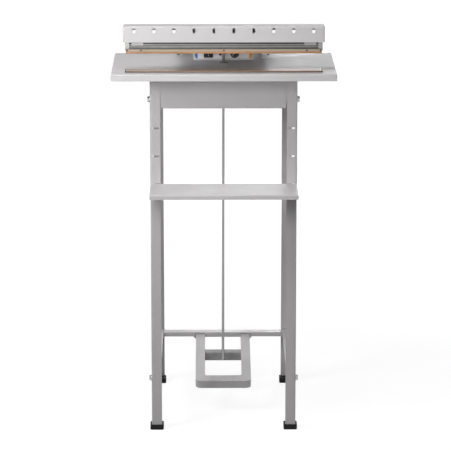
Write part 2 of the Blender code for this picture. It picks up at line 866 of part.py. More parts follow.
rod_table_y = table_front + ROD_TABLE_SETBACK
bush_y = table_front + BUSH_SETBACK


def table():
    """The folded table top with its front and side lips."""
    low = (-TABLE_WIDTH / 2, table_front, TABLE_HEIGHT - TABLE_LIP)
    high = (TABLE_WIDTH / 2, table_back, TABLE_HEIGHT)
    return tray("table_top", low, high, TABLE_BEND, THIN_SHEET, [(0, 1, 0)], painted_steel)


def rod_bush():
    """A black bush with a rim that lines the slot in the table."""
    long = BUSH_SLOT_LENGTH + 2 * BUSH_WALL
    wide = BUSH_SLOT_WIDTH + 2 * BUSH_WALL
    rim = stadium((0, bush_y), long + 2 * BUSH_RIM, wide + 2 * BUSH_RIM)
    rim_middle = TABLE_HEIGHT + GAP + BUSH_RIM_THICK / 2
    made = slab("rod_bush", [rim], BUSH_RIM_THICK, section_z(rim_middle), black_plastic)
    neck = stadium((0, bush_y), long, wide)
    fuse(made, slab("bush_neck", [neck], 2 * BUSH_DEPTH, section_z(rim_middle - BUSH_DEPTH)))
    slot = stadium((0, bush_y), BUSH_SLOT_LENGTH, BUSH_SLOT_WIDTH)
    cut(made, slab("bush_slot", [slot], 2 * (2 * BUSH_DEPTH + OVERRUN), section_z(TABLE_HEIGHT)))
    opening = stadium((0, bush_y), long + 2 * GAP, wide + 2 * GAP)
    cut(table_top, slab("bush_opening", [opening], 2 * OVERRUN, section_z(TABLE_HEIGHT)))
    return made


def deck_with_posts():
    """The flat deck behind the table, with the two posts that guide the return springs."""
    outline = rounded(-half_stand, half_stand, table_back + GAP, stand_back, TABLE_BEND)
    place = section_z(TABLE_HEIGHT - THIN_SHEET / 2)
    made = slab("rear_deck", [outline], THIN_SHEET, place, painted_steel)
    posts = bmesh.new()
    for sign in (-1, 1):
        foot = Matrix.Translation((sign * SPRING_OFFSET, spring_y, TABLE_HEIGHT - THIN_SHEET / 2))
        add_drum(posts, foot, POST_RADIUS, POST_HEIGHT, HOLE_SIDES)
    fuse(made, shaped("spring_posts", posts))
    return made


spring_y = hinge_y - SPRING_FROM_HINGE
table_top = table()
rod_bush()
deck_with_posts()


# Lower jaw

cap_inside = SEAL_LENGTH / 2 - END_CAP
lower_half = cap_inside - GAP


def wrap(name, half_depth, turn, edge, slant=0.0):
    """A cloth folded round a strip: it covers the face at turn and runs along both sides to edge."""
    drop = half_depth * slant
    path = [(half_depth, edge), (half_depth, turn - drop), (-half_depth, turn + drop), (-half_depth, edge)]
    upwards = 1 if turn > edge else -1
    if upwards < 0:
        path.reverse()
    section = flipped(strip(bent(path, CLOTH_BEND), CLOTH), 1, 1, (seal_y, 0))
    return slab(name, [section], 2 * lower_half, section_x(), release_cloth)


def lower_jaw():
    """The fixed jaw: a base with raised ends, a rubber strip, and the cloth over both."""
    inside = LOWER_JAW_DEPTH / 2 - CLOTH - GAP
    base_low = TABLE_HEIGHT + GAP
    base_top = base_low + LOWER_BASE_HEIGHT
    low = (-lower_half - END_CAP / 2, seal_y - inside, base_low)
    high = (lower_half + END_CAP / 2, seal_y + inside, base_top)
    base = box("lower_jaw_base", low, high, aluminium)
    for sign in (-1, 1):
        sides = sorted((sign * cap_inside, sign * SEAL_LENGTH / 2))
        low = (sides[0], seal_y - LOWER_JAW_DEPTH / 2, base_low - GAP / 2)
        high = (sides[1], seal_y + LOWER_JAW_DEPTH / 2, lower_jaw_top)
        fuse(base, box(f"lower_jaw_end_{sign}", low, high))
    low = (-lower_half, seal_y - RUBBER_DEPTH / 2, base_top + GAP)
    high = (lower_half, seal_y + RUBBER_DEPTH / 2, base_top + GAP + RUBBER_HEIGHT)
    box("lower_rubber", low, high, pale_rubber)
    wrap("lower_cloth", LOWER_JAW_DEPTH / 2, lower_jaw_top, base_low)


lower_jaw()


# Upper jaw: bar, insulating nose, ribbon, cloth, clamps, end plates and ribbon tensioners

bar_half = SEAL_LENGTH / 2
foot_top = jaw_bar_bottom + JAW_FOOT_HEIGHT
recess_top = foot_top + JAW_RECESS_HEIGHT
rib_front = jaw_bar_front + JAW_RECESS_DEPTH - JAW_RIB_PROUD
clamp_low = foot_top - CLAMP_HEIGHT
cloth_half = JAW_BAR_DEPTH / 2 + GAP + CLOTH
tensioner_low = foot_top + TENSIONER_RISE


def jaw_bar():
    """The extruded bar, with a recess and its ribs along the front."""
    recess_back = jaw_bar_front + JAW_RECESS_DEPTH
    section = [
        (jaw_bar_front, jaw_bar_bottom),
        (jaw_bar_back, jaw_bar_bottom),
        (jaw_bar_back, jaw_bar_top),
        (jaw_bar_front, jaw_bar_top),
        (jaw_bar_front, recess_top),
        (recess_back, recess_top),
    ]
    for rib in reversed(range(JAW_RIBS)):
        low = foot_top + JAW_RIB_RISE + rib * JAW_RIB_PITCH
        high = low + JAW_RIB_HEIGHT
        section += [(recess_back, high), (rib_front, high), (rib_front, low), (recess_back, low)]
    section += [(recess_back, foot_top), (jaw_bar_front, foot_top)]
    return slab("jaw_bar", [section], 2 * bar_half, section_x(), aluminium)


def recess_end(name, sign):
    """A plate that closes the bar's recess at one end."""
    sides = sorted((sign * (bar_half - END_BLOCK), sign * bar_half))
    low = (sides[0], jaw_bar_front, foot_top + GAP)
    return box(name, low, (sides[1], rib_front - GAP, recess_top - GAP), aluminium)


def cloth_clamp(name, sign):
    """A strip that holds the cloth to the bar's foot, in front or behind."""
    near = cloth_half + GAP
    sides = sorted((seal_y + sign * near, seal_y + sign * (near + CLAMP_THICK)))
    return box(name, (-lower_half, sides[0], clamp_low), (lower_half, sides[1], foot_top), laminate)


def tensioner(name, sign):
    """A sliding block at one end of the recess that keeps the ribbon tight."""
    outer = bar_half - TENSIONER_INSET
    sides = sorted((sign * outer, sign * (outer - TENSIONER_LENGTH)))
    outline = rounded(*sides, tensioner_low, tensioner_low + TENSIONER_HEIGHT, TENSIONER_CORNER)
    place = section_y(rib_front - GAP - TENSIONER_DEPTH / 2)
    return slab(name, [outline], TENSIONER_DEPTH, place, aluminium)


def along_jaw(name, half_depth, low, height, top_slant, material):
    """A strip along the jaw whose underside falls towards the rear, so that it lies level when closed."""
    drop = half_depth * jaw_slant
    top_drop = half_depth * top_slant
    front = seal_y - half_depth
    rear = seal_y + half_depth
    high = low + height
    outline = [(front, low + drop), (rear, low - drop), (rear, high - top_drop), (front, high + top_drop)]
    return slab(name, [outline], 2 * lower_half, section_x(), material)


jaw_slant = math.tan(math.radians(JAW_SLANT_DEG))
bar = jaw_bar()
nose = along_jaw("jaw_nose", JAW_BAR_DEPTH / 2, nose_low, NOSE_HEIGHT, 0.0, laminate)
ribbon = along_jaw("heating_ribbon", RIBBON_WIDTH / 2, ribbon_low, RIBBON_THICK, jaw_slant, heater_alloy)
upper_cloth = wrap("upper_cloth", cloth_half, upper_jaw_low, foot_top, jaw_slant)
clamp_front = cloth_clamp("clamp_front", -1)
clamp_rear = cloth_clamp("clamp_rear", 1)
end_left = recess_end("jaw_end_left", -1)
end_right = recess_end("jaw_end_right", 1)
tensioner_left = tensioner("tensioner_left", -1)
tensioner_right = tensioner("tensioner_right", 1)


# Slotted cover over the upper jaw

def slotted_cover():
    """An inverted tray over the bar: its back is cut down to a lip that lies on the arm's front."""
    low = (-COVER_WIDTH / 2, cover_front, cover_low)
    high = (COVER_WIDTH / 2, jaw_bar_back, cover_top)
    made = tray("jaw_cover", low, high, COVER_BEND, THIN_SHEET, [], painted_steel)
    reach = COVER_WIDTH / 2 + OVERRUN
    below = (-reach, jaw_bar_back - COVER_BEND, cover_low - OVERRUN)
    cut(made, box("cover_back_cut", below, (reach, jaw_bar_back + OVERRUN, cover_top - COVER_REAR_LIP)))
    slots = []
    middle_z = cover_top - COVER_SLOT_DROP - COVER_SLOT_HEIGHT / 2
    for number in range(COVER_SLOTS):
        x = (number - (COVER_SLOTS - 1) / 2) * COVER_SLOT_PITCH
        outline = stadium((x, middle_z), COVER_SLOT_HEIGHT, COVER_SLOT_WIDTH)
        slots.append(slab("slot", [outline], 2 * OVERRUN, section_y(cover_front)))
    cut(made, group("cover_slots", slots))
    return made


cover = slotted_cover()


# Arm hood, rear hinge and return springs

tail_y = hinge_y + HOOD_TAIL
tail_top = TABLE_HEIGHT + HOOD_REAR_TOP
hood_slope = (tail_top - hood_front_top) / (tail_y - hood_front)
ear_x = HOOD_WIDTH / 2 - SHEET - GAP - HINGE_EAR / 2


def hood_under(y):
    """The height of the underside of the hood's sloping top."""
    return hood_front_top + (y - hood_front) * hood_slope - SHEET * math.hypot(1, hood_slope)


def arm_hood():
    """The arm: a folded hood, open below and behind, that carries the upper jaw on its front."""
    outer = [
        (hood_front, TABLE_HEIGHT + HOOD_FRONT_LOW),
        (hood_front, hood_front_top),
        (tail_y, tail_top),
        (tail_y, TABLE_HEIGHT + HOOD_REAR_LOW),
    ]
    front = hood_front + SHEET
    past = tail_y + OVERRUN
    inner = [
        (front, TABLE_HEIGHT - OVERRUN),
        (front, hood_under(front)),
        (past, hood_under(past)),
        (past, TABLE_HEIGHT - OVERRUN),
    ]
    made = slab("arm_hood", [outer], HOOD_WIDTH, section_x(), painted_steel)
    cut(made, slab("hood_inside", [inner], HOOD_WIDTH - 2 * SHEET, section_x()))
    return made


def hinge_bracket(name, sign):
    """An ear on a foot that carries the hinge pin inside the hood."""
    base = TABLE_HEIGHT + GAP
    half = HINGE_EAR_WIDTH / 2
    inset = HINGE_EAR / 2
    outline = arc((hinge_y, hinge_z), HINGE_EAR_EDGE, 180, 0, 2 * ARC_STEPS)
    outline += [(hinge_y + half, base + inset), (hinge_y - half, base + inset)]
    made = slab(name, [outline], HINGE_EAR, section_x(sign * ear_x), zinc_steel)
    sides = sorted((sign * ear_x, sign * (ear_x - HINGE_FOOT)))
    low = (sides[0], hinge_y - half + inset, base)
    high = (sides[1], hinge_y + half - inset, base + HINGE_EAR)
    fuse(made, box(name + "_foot", low, high))
    return made


def return_spring(name, sign):
    """A coil between the deck and the hood that lifts the arm."""
    rear = spring_y + SPRING_RADIUS + SPRING_WIRE
    low = TABLE_HEIGHT + GAP + SPRING_WIRE
    high = hood_under(rear) - GAP - SPRING_WIRE
    foot = (sign * SPRING_OFFSET, spring_y, low)
    points = helix(foot, SPRING_RADIUS, SPRING_TURNS, high - low, SPRING_STEPS)
    return solid_wire(name, points, SPRING_WIRE, 1, spring_steel)


hood = arm_hood()
pin_place = axes((-HOOD_WIDTH / 2 - GAP, hinge_y, hinge_z), (0, -1, 0), (0, 0, 1))
pin_long = HOOD_WIDTH + 2 * GAP + HINGE_PIN_PROUD
pin_head = (HINGE_PIN_HEAD_RADIUS, HINGE_PIN_HEAD)
hinge_pin = headed_pin("hinge_pin", pin_place, pin_head, (HINGE_PIN_RADIUS, pin_long), zinc_steel)
bracket_left = hinge_bracket("hinge_bracket_left", -1)
bracket_right = hinge_bracket("hinge_bracket_right", 1)
pin_bore = HINGE_PIN_RADIUS + HINGE_CLEARANCE
drill("hinge_holes", [pin_place], pin_bore, pin_long + OVERRUN, hood, bracket_left, bracket_right)
return_spring("return_spring_left", -1)
return_spring("return_spring_right", 1)


# Pull rod, its bracket on the arm and the two clips

pedal_slope = math.radians(PEDAL_SLOPE_DEG)
pedal_place = Matrix.Translation((0, pedal_y, pedal_z)) @ Matrix.Rotation(pedal_slope, 4, "X")
plate_top = PEDAL_TOP_OFFSET - SHEET - GAP
rod_hole_z = plate_top - ROD_HOLE_DROP
top_offset = ROD_RADIUS + ROD_TOP_GAP
low_offset = ROD_RADIUS + ROD_LOW_GAP
rod_low = pedal_place @ Vector((0, -CROSS_PLATE_REACH - low_offset, rod_hole_z))
rod_slope = (rod_table_y - rod_low.y) / (TABLE_HEIGHT - rod_low.z)
rod_top = Vector((0, rod_table_y + rod_slope * ROD_TOP_HEIGHT, TABLE_HEIGHT + ROD_TOP_HEIGHT))
rod_down = (rod_low - rod_top).normalized()
top_tail = Vector((1, 0, 0)).cross(rod_down)
low_tail = pedal_place.to_3x3() @ Vector((0, 1, 0))
top_clip_start = top_offset + ROD_BRACKET_SHEET + CLIP_TOP_GAP
low_clip_start = low_offset + SHEET + CLIP_LOW_GAP


def pull_rod():
    """A round rod, bent backwards at both ends, that runs through the table."""
    past_clip = CLIP_THICK + ROD_TAIL_PROUD
    corners = [
        rod_top + top_tail * (top_clip_start + past_clip),
        rod_top,
        rod_low,
        rod_low + low_tail * (low_clip_start + past_clip),
    ]
    return solid_wire("pull_rod", bent(corners, ROD_BEND), ROD_RADIUS, 3, zinc_steel)


def rod_clip(name, start, tail):
    """A washer clip behind the plate that the rod's end passes through."""
    outlines = [ring((0, 0), CLIP_RADIUS, ROUND_SIDES), ring((0, 0), ROD_RADIUS + GAP)]
    return slab(name, outlines, CLIP_THICK, facing(start + tail * (CLIP_THICK / 2), tail), zinc_steel)


def rod_bracket():
    """A bent plate under the hood's top, square to the rod's upper end."""
    face = rod_top + top_tail * top_offset
    rise = (hood_under(face.y) - GAP - face.z) / (hood_slope * rod_down.y - rod_down.z)
    high = face - rod_down * rise
    low = face + rod_down * ROD_BRACKET_EDGE
    back = high.y + ROD_BRACKET_FLANGE
    section = [(back, hood_under(back) - GAP), (high.y, high.z), (low.y, low.z)]
    half = ROD_BRACKET_WIDTH / 2
    made = folded("rod_bracket", section, ROD_BRACKET_BEND, ROD_BRACKET_SHEET, -half, half, zinc_steel)
    hole = facing(face + top_tail * ROD_BRACKET_SHEET, top_tail)
    drill("rod_bracket_hole", [hole], ROD_RADIUS + ROD_TOP_CLEARANCE, ROD_BRACKET_SHEET + OVERRUN, made)
    return made


rod = pull_rod()
top_clip = rod_clip("rod_clip_upper", rod_top + top_tail * top_clip_start, top_tail)
low_clip = rod_clip("rod_clip_lower", rod_low + low_tail * low_clip_start, low_tail)
bracket = rod_bracket()


# Pedal: a folded frame with ears, a cross plate for the rod, and the hinge pin

def pedal_frame():
    """The U-shaped pedal with its outer lip; two ears carry it on the pin."""
    half = PEDAL_WIDTH / 2
    front = -PEDAL_LENGTH
    rear = -PEDAL_PLATE_SETBACK
    inner = half - PEDAL_ARM
    corner = PEDAL_CORNER
    plan = [(half, rear), (inner, rear)]
    plan += arc((inner - corner / 2, front + PEDAL_FRONT_BAR + corner / 2), corner / 2, 0, -90)
    plan += arc((-inner + corner / 2, front + PEDAL_FRONT_BAR + corner / 2), corner / 2, 270, 180)
    plan += [(-inner, rear), (-half, rear)]
    plan += arc((-half + corner, front + corner), corner, 180, 270)
    plan += arc((half - corner, front + corner), corner, 270, 360)
    middle = Matrix.Translation((0, 0, PEDAL_TOP_OFFSET - PEDAL_LIP / 2))
    made = slab("pedal_frame", [plan], PEDAL_LIP, pedal_place @ middle, painted_steel)
    bend = corner - SHEET
    inside = half - SHEET
    pocket = [(inside, OVERRUN), (-inside, OVERRUN)]
    pocket += arc((-half + corner, front + corner), bend, 180, 270)
    pocket += arc((half - corner, front + corner), bend, 270, 360)
    middle = Matrix.Translation((0, 0, PEDAL_TOP_OFFSET - SHEET - PEDAL_LIP / 2))
    cut(made, slab("pedal_pocket", [pocket], PEDAL_LIP, pedal_place @ middle))
    top = PEDAL_TOP_OFFSET - SHEET / 2
    lap = rear - PEDAL_EAR_LAP
    ear = arc((0, 0), PEDAL_EAR_RADIUS, -90, 90, 2 * ARC_STEPS)
    ear += [(rear, top), (lap, top), (lap, -PEDAL_EAR_RADIUS)]
    hole = ring((0, 0), PEDAL_PIN_RADIUS + PEDAL_CLEARANCE)
    for sign in (-1, 1):
        place = pedal_place @ section_x(sign * (half - SHEET))
        fuse(made, slab(f"pedal_ear_{sign}", [ear, hole], PEDAL_EAR, place))
    return made


def cross_plate():
    """An angle under the pedal's arms with the hole for the rod's lower end."""
    front = -CROSS_PLATE_REACH
    section = [
        (front + CROSS_PLATE_DEPTH, plate_top),
        (front, plate_top),
        (front, plate_top - CROSS_PLATE_HEIGHT),
    ]
    half = PEDAL_WIDTH / 2 - PEDAL_ARM + CROSS_PLATE_LAP
    made = folded("cross_plate", section, TABLE_BEND, SHEET, -half, half, painted_steel)
    made.matrix_world = pedal_place @ made.matrix_world
    hole = pedal_place @ facing((0, front + SHEET, rod_hole_z), (0, 1, 0))
    drill("rod_hole", [hole], ROD_RADIUS + ROD_LOW_CLEARANCE, SHEET + OVERRUN, made)
    return made


pedal = pedal_frame()
cross = cross_plate()
pedal_pin_place = axes((-hanger_inside - PEDAL_HANGER - GAP, pedal_y, pedal_z), (0, -1, 0), (0, 0, 1))
pedal_pin_long = 2 * (hanger_inside + PEDAL_HANGER + GAP) + PEDAL_PIN_PROUD
pedal_pin_head = (PEDAL_PIN_RADIUS + PEDAL_PIN_PROUD / 2, PEDAL_PIN_PROUD)
pedal_shank = (PEDAL_PIN_RADIUS, pedal_pin_long)
pedal_pin = headed_pin("pedal_pin", pedal_pin_place, pedal_pin_head, pedal_shank, zinc_steel)


# Control console: shell, panel, rocker switch, lamp, dial, timer board and cord gland

lean = math.radians(CONSOLE_LEAN_DEG)
console_front = table_front + CONSOLE_FRONT
console_back = console_front + CONSOLE_DEPTH
console_low = TABLE_HEIGHT + GAP
console_top = console_low + CONSOLE_HEIGHT
console_face = axes((0, console_front, console_low), (1, 0, 0), (0, math.sin(lean), math.cos(lean)))
panel_middle = CONSOLE_HEIGHT / math.cos(lean) / 2
shell_back = -THIN_SHEET


def on_face(x, height, out):
    """A place on the console's leaning face, its z axis out of the face."""
    return console_face @ Matrix.Translation((x, height, out))


def console_shell():
    """The console's folded shell, open below."""
    run = CONSOLE_HEIGHT * math.tan(lean)
    outer = [
        (console_front, console_low),
        (console_front + run, console_top),
        (console_back, console_top),
        (console_back, console_low),
    ]
    made = slab("console_shell", [outer], CONSOLE_WIDTH, section_x(), painted_steel)
    shift = THIN_SHEET / math.cos(lean)
    lower = OVERRUN * math.tan(lean)
    upper = run - THIN_SHEET * math.tan(lean)
    inner = [
        (console_front + shift - lower, console_low - OVERRUN),
        (console_front + shift + upper, console_top - THIN_SHEET),
        (console_back - THIN_SHEET, console_top - THIN_SHEET),
        (console_back - THIN_SHEET, console_low - OVERRUN),
    ]
    cut(made, slab("console_inside", [inner], CONSOLE_WIDTH - 2 * THIN_SHEET, section_x()))
    return made


def front_panel():
    """The thin panel on the leaning face."""
    outline = rounded(
        -PANEL_WIDTH / 2,
        PANEL_WIDTH / 2,
        panel_middle - PANEL_HEIGHT / 2,
        panel_middle + PANEL_HEIGHT / 2,
        PANEL_CORNER,
    )
    place = on_face(0, 0, GAP + PANEL_THICK / 2)
    return slab("front_panel", [outline], PANEL_THICK, place, white_print)


panel_top = GAP + PANEL_THICK
opening_half_width = ROCKER_WIDTH / 2 + ROCKER_CLEARANCE
opening_half_height = ROCKER_HEIGHT / 2 + ROCKER_CLEARANCE


def centred(half_width, half_height):
    """The outline of a rectangle about zero."""
    return rectangle(-half_width, half_width, -half_height, half_height)


def rocker_frame():
    """The switch's housing: a bezel on the panel and a box behind it."""
    face = on_face(ROCKER_X, CONTROL_HEIGHT, panel_top)
    rim = ROCKER_FRAME
    bezel = centred(opening_half_width + rim, opening_half_height + rim)
    out = Matrix.Translation((0, 0, GAP + ROCKER_FRAME_THICK / 2))
    made = slab("rocker_frame", [bezel], ROCKER_FRAME_THICK, face @ out, black_plastic)
    body = centred(opening_half_width + ROCKER_WALL, opening_half_height + ROCKER_WALL)
    back = Matrix.Translation((0, 0, GAP + ROCKER_FRAME_THICK / 2 - ROCKER_BODY_DEPTH / 2))
    fuse(made, slab("rocker_body", [body], ROCKER_BODY_DEPTH, face @ back))
    cavity = centred(opening_half_width, opening_half_height)
    deep = ROCKER_BODY_DEPTH + OVERRUN - 2 * ROCKER_WALL
    inside = Matrix.Translation((0, 0, OVERRUN - deep / 2))
    cut(made, slab("rocker_cavity", [cavity], deep, face @ inside))
    hole = centred(opening_half_width + ROCKER_WALL + GAP, opening_half_height + ROCKER_WALL + GAP)
    opening = slab("rocker_opening", [hole], 2 * OVERRUN, face)
    cut(shell, opening)
    cut(panel, opening)
    return made


def rocker():
    """The rocker with its shallow V face, tipped to its off side about the pivot."""
    half = ROCKER_HEIGHT / 2
    rise = ROCKER_PIVOT_DEPTH + ROCKER_PROUD
    outline = [
        (-half, -ROCKER_PIVOT_DEPTH / 2),
        (0, -ROCKER_PIVOT_DEPTH),
        (half, -ROCKER_PIVOT_DEPTH / 2),
        (half, rise),
        (0, rise - ROCKER_HOLLOW),
        (-half, rise),
    ]
    turned = rocker_pivot @ Matrix.Rotation(math.radians(ROCKER_TILT_DEG), 4, "X")
    return slab("rocker", [outline], ROCKER_WIDTH, turned @ section_x(), black_plastic)


def pilot_lamp():
    """A small lamp with a rim on the panel and a body behind it."""
    place = on_face(LAMP_X, CONTROL_HEIGHT, panel_top + GAP)
    rim = LAMP_RADIUS + LAMP_RIM
    made = drum("pilot_lamp", place, rim, LAMP_PROUD, lamp_lens)
    body = place @ Matrix.Translation((0, 0, -LAMP_BODY))
    fuse(made, drum("lamp_body", body, LAMP_RADIUS, LAMP_BODY + LAMP_PROUD / 2))
    drill("lamp_hole", [place], LAMP_RADIUS + GAP, LAMP_BODY, panel, shell)
    return made


def dial_knob():
    """The knob with its skirt, grips and shaft, one piece on the dial's axis."""
    base = Matrix.Translation((0, 0, KNOB_LIFT))
    made = drum("dial_knob", dial_axis @ base, KNOB_RADIUS, KNOB_SKIRT, black_plastic)
    outline = []
    turn_and_depth_shares = ((0.25, 0), (0.5, 1), (0.75, 1), (1, 0))
    for grip in range(KNOB_GRIPS):
        for turn_share, depth_share in turn_and_depth_shares:
            turn = 2 * math.pi * (grip + turn_share) / KNOB_GRIPS
            radius = KNOB_RADIUS - KNOB_SKIRT - depth_share * KNOB_GRIP_DEPTH
            outline.append((radius * math.cos(turn), radius * math.sin(turn)))
    middle = Matrix.Translation((0, 0, KNOB_LIFT + KNOB_SKIRT / 2 + KNOB_LENGTH / 2))
    fuse(made, slab("knob_grips", [outline], KNOB_LENGTH, dial_axis @ middle))
    inside = Matrix.Translation((0, 0, -SHAFT_LENGTH))
    fuse(made, drum("dial_shaft", dial_axis @ inside, SHAFT_RADIUS, SHAFT_LENGTH + KNOB_LENGTH / 2))
    return made


def dial_body():
    """The round timer control behind the shell that the shaft turns in."""
    start = Matrix.Translation((0, 0, shell_back - GAP - panel_top - DIAL_BODY_LENGTH))
    made = drum("dial_body", dial_axis @ start, DIAL_BODY_RADIUS, DIAL_BODY_LENGTH, aluminium)
    bore = SHAFT_RADIUS + SHAFT_CLEARANCE
    drill("shaft_hole", [dial_axis], bore, SHAFT_LENGTH + GAP, made, shell, panel)
    return made


def timer_board():
    """The timer's circuit board on four feet inside the console."""
    half = BOARD_WIDTH / 2
    front = console_front + BOARD_SETBACK
    back = front + BOARD_DEPTH
    low = console_low + STANDOFF_HEIGHT
    made = box("timer_board", (-half, front, low), (half, back, low + BOARD_THICK), circuit_board)
    feet = bmesh.new()
    inset = 2 * STANDOFF_RADIUS
    for x in (-half + inset, half - inset):
        for y in (front + inset, back - inset):
            foot = Matrix.Translation((x, y, console_low))
            add_drum(feet, foot, STANDOFF_RADIUS, STANDOFF_HEIGHT + BOARD_THICK / 2, HOLE_SIDES)
    fuse(made, shaped("board_feet", feet))
    return made


def cord_gland():
    """The gland in the console's back wall, with its bore open."""
    middle_z = (console_low + console_top) / 2
    wall = facing((GLAND_X, console_back, middle_z), (0, 1, 0))
    made = drum("cord_gland", wall @ Matrix.Translation((0, 0, GAP)), GLAND_RADIUS, GLAND_NUT, black_plastic)
    start = wall @ Matrix.Translation((0, 0, -GLAND_NUT))
    fuse(made, drum("gland_neck", start, GLAND_NECK, GLAND_LENGTH))
    bore = wall @ Matrix.Translation((0, 0, GLAND_LENGTH))
    drill("gland_bore", [bore], GLAND_BORE, GLAND_LENGTH + 2 * OVERRUN, made)
    drill("gland_hole", [wall], GLAND_NECK + GAP, 2 * THIN_SHEET, shell)
    return made


shell = console_shell()
panel = front_panel()
rocker_pivot = on_face(ROCKER_X, CONTROL_HEIGHT, panel_top - ROCKER_PIVOT_DEPTH)
rocker_frame()
rocker()
pilot_lamp()
dial_axis = on_face(KNOB_X, CONTROL_HEIGHT, panel_top)
dial_knob()
dial_body()
timer_board()
cord_gland()


# Micro switch on the console's side, and its plunger

def micro_switch():
    """A switch on a plate against the console's side wall, with a bore for the plunger."""
    side = CONSOLE_WIDTH / 2 + GAP
    low_z = console_top + SWITCH_RISE
    near = switch_y - SWITCH_DEPTH / 2
    far = switch_y + SWITCH_DEPTH / 2
    case = side + SWITCH_PLATE / 2
    low = (case, near, low_z)
    made = box("micro_switch", low, (case + SWITCH_WIDTH, far, switch_top), black_plastic)
    low = (side, near + SWITCH_PLATE, console_top - SWITCH_PLATE_DROP)
    fuse(made, box("switch_plate", low, (side + SWITCH_PLATE, far - SWITCH_PLATE, switch_top - SWITCH_PLATE)))
    place = Matrix.Translation((plunger_x, switch_y, switch_top))
    drill("plunger_bore", [place], PLUNGER_RADIUS + PLUNGER_CLEARANCE, PLUNGER_DEPTH + PLUNGER_PROUD, made)
    return made


def switch_plunger():
    """The round plunger that the arm presses when the jaws close."""
    start = Matrix.Translation((plunger_x, switch_y, switch_top - PLUNGER_DEPTH))
    length = PLUNGER_DEPTH + PLUNGER_PROUD
    return drum("switch_plunger", start, PLUNGER_RADIUS, length, zinc_steel, HOLE_SIDES)


switch_y = console_front + SWITCH_SETBACK
switch_top = console_top + SWITCH_RISE + SWITCH_HEIGHT
plunger_x = CONSOLE_WIDTH / 2 + GAP + SWITCH_PLATE / 2 + SWITCH_WIDTH / 2
micro_switch()
switch_plunger()


# Transformer under the rear deck

def transformer():
    """A stacked core with two windows, and the winding round its middle limb."""
    top = table_under - GAP
    middle_z = top - CORE_HEIGHT / 2
    middle_y = stand_back - CORE_SETBACK
    limb = CORE_LIMB / 2
    coil_half = COIL_WIDTH / 2
    outline = rectangle(CORE_X - CORE_WIDTH / 2, CORE_X + CORE_WIDTH / 2, top - CORE_HEIGHT, top)
    holes = []
    tall = COIL_HEIGHT / 2 + GAP
    for sign in (-1, 1):
        sides = sorted((CORE_X + sign * limb, CORE_X + sign * (coil_half + GAP)))
        holes.append(rectangle(*sides, middle_z - tall, middle_z + tall))
    slab("transformer_core", [outline, *holes], CORE_DEPTH, section_y(middle_y), core_steel)
    deep = COIL_DEPTH / 2
    outer = rounded(CORE_X - coil_half, CORE_X + coil_half, middle_y - deep, middle_y + deep, COIL_CORNER)
    core_half = CORE_DEPTH / 2 + GAP
    bore = rectangle(CORE_X - limb - GAP, CORE_X + limb + GAP, middle_y - core_half, middle_y + core_half)
    slab("transformer_coil", [outer, bore], COIL_HEIGHT, section_z(middle_z), winding)


transformer()


# Joint axes, each an empty that carries its moving pieces

arm_axis = axis_at("arm_axis", pin_place)
rod_pivot = rod_top + top_tail * (top_offset + ROD_BRACKET_SHEET / 2)
rod_axis = axis_at("rod_axis", facing(rod_pivot, top_tail))
carry(rod_axis, rod, top_clip, low_clip)
slides = []
for sign, block in ((-1, tensioner_left), (1, tensioner_right)):
    middle = (sign * (bar_half - TENSIONER_INSET), rib_front, tensioner_low + TENSIONER_HEIGHT / 2)
    slides.append(axis_at(block.name + "_axis", Matrix.Translation(middle)))
    carry(slides[-1], block)
carry(arm_axis, hood, hinge_pin, cover, bar, nose, ribbon, upper_cloth, clamp_front, clamp_rear)
carry(arm_axis, end_left, end_right, bracket, rod_axis, *slides)
carry(axis_at("pedal_axis", pedal_place), pedal, cross, pedal_pin)
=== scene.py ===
# %% [markdown]
# # A foot pedal heat sealer, dressed
# The solid model already holds every sheet, rod and pin at its real size. This lesson gives those
# pieces their finishes, adds the small things that a maker buys by the box, such as bolts, washers and
# screws, and sets up a plain studio. The first cell brings the solid model in as a fixed frame.

# %% Bring in the frame
import bpy
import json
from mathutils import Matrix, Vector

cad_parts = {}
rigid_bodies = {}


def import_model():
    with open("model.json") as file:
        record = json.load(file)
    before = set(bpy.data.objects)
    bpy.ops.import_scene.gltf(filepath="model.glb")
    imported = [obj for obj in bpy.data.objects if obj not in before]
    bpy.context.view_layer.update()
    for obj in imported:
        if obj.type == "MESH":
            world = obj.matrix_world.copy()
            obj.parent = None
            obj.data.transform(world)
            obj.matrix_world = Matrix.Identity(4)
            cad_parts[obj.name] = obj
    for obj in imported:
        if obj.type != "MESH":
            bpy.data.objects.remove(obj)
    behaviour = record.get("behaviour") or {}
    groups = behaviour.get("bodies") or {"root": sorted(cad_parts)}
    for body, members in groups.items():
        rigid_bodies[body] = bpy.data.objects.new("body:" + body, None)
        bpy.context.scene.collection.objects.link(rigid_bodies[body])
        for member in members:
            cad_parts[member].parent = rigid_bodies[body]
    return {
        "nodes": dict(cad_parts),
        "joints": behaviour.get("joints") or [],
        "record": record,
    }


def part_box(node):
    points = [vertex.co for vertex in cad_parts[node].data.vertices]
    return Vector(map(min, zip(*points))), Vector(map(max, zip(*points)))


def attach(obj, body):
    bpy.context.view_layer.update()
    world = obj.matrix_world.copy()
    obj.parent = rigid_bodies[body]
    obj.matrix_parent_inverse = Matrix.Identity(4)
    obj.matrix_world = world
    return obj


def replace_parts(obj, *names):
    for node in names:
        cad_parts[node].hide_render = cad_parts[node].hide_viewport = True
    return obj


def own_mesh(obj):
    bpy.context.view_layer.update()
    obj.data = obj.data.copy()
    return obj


for thing in list(bpy.data.objects):
    bpy.data.objects.remove(thing)

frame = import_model()

import json
import math

import bmesh
from mathutils import Matrix, Vector

scene = bpy.context.scene
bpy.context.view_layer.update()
nodes = frame["nodes"]


# %% [markdown]
# ## The camera
# The object was pictured from well above the table and from far away, a little to the left of its
# middle. A long lens at that distance keeps the legs almost parallel. The camera is pitched down
# instead of shifted, so that the same camera can be carried round the object for other views.

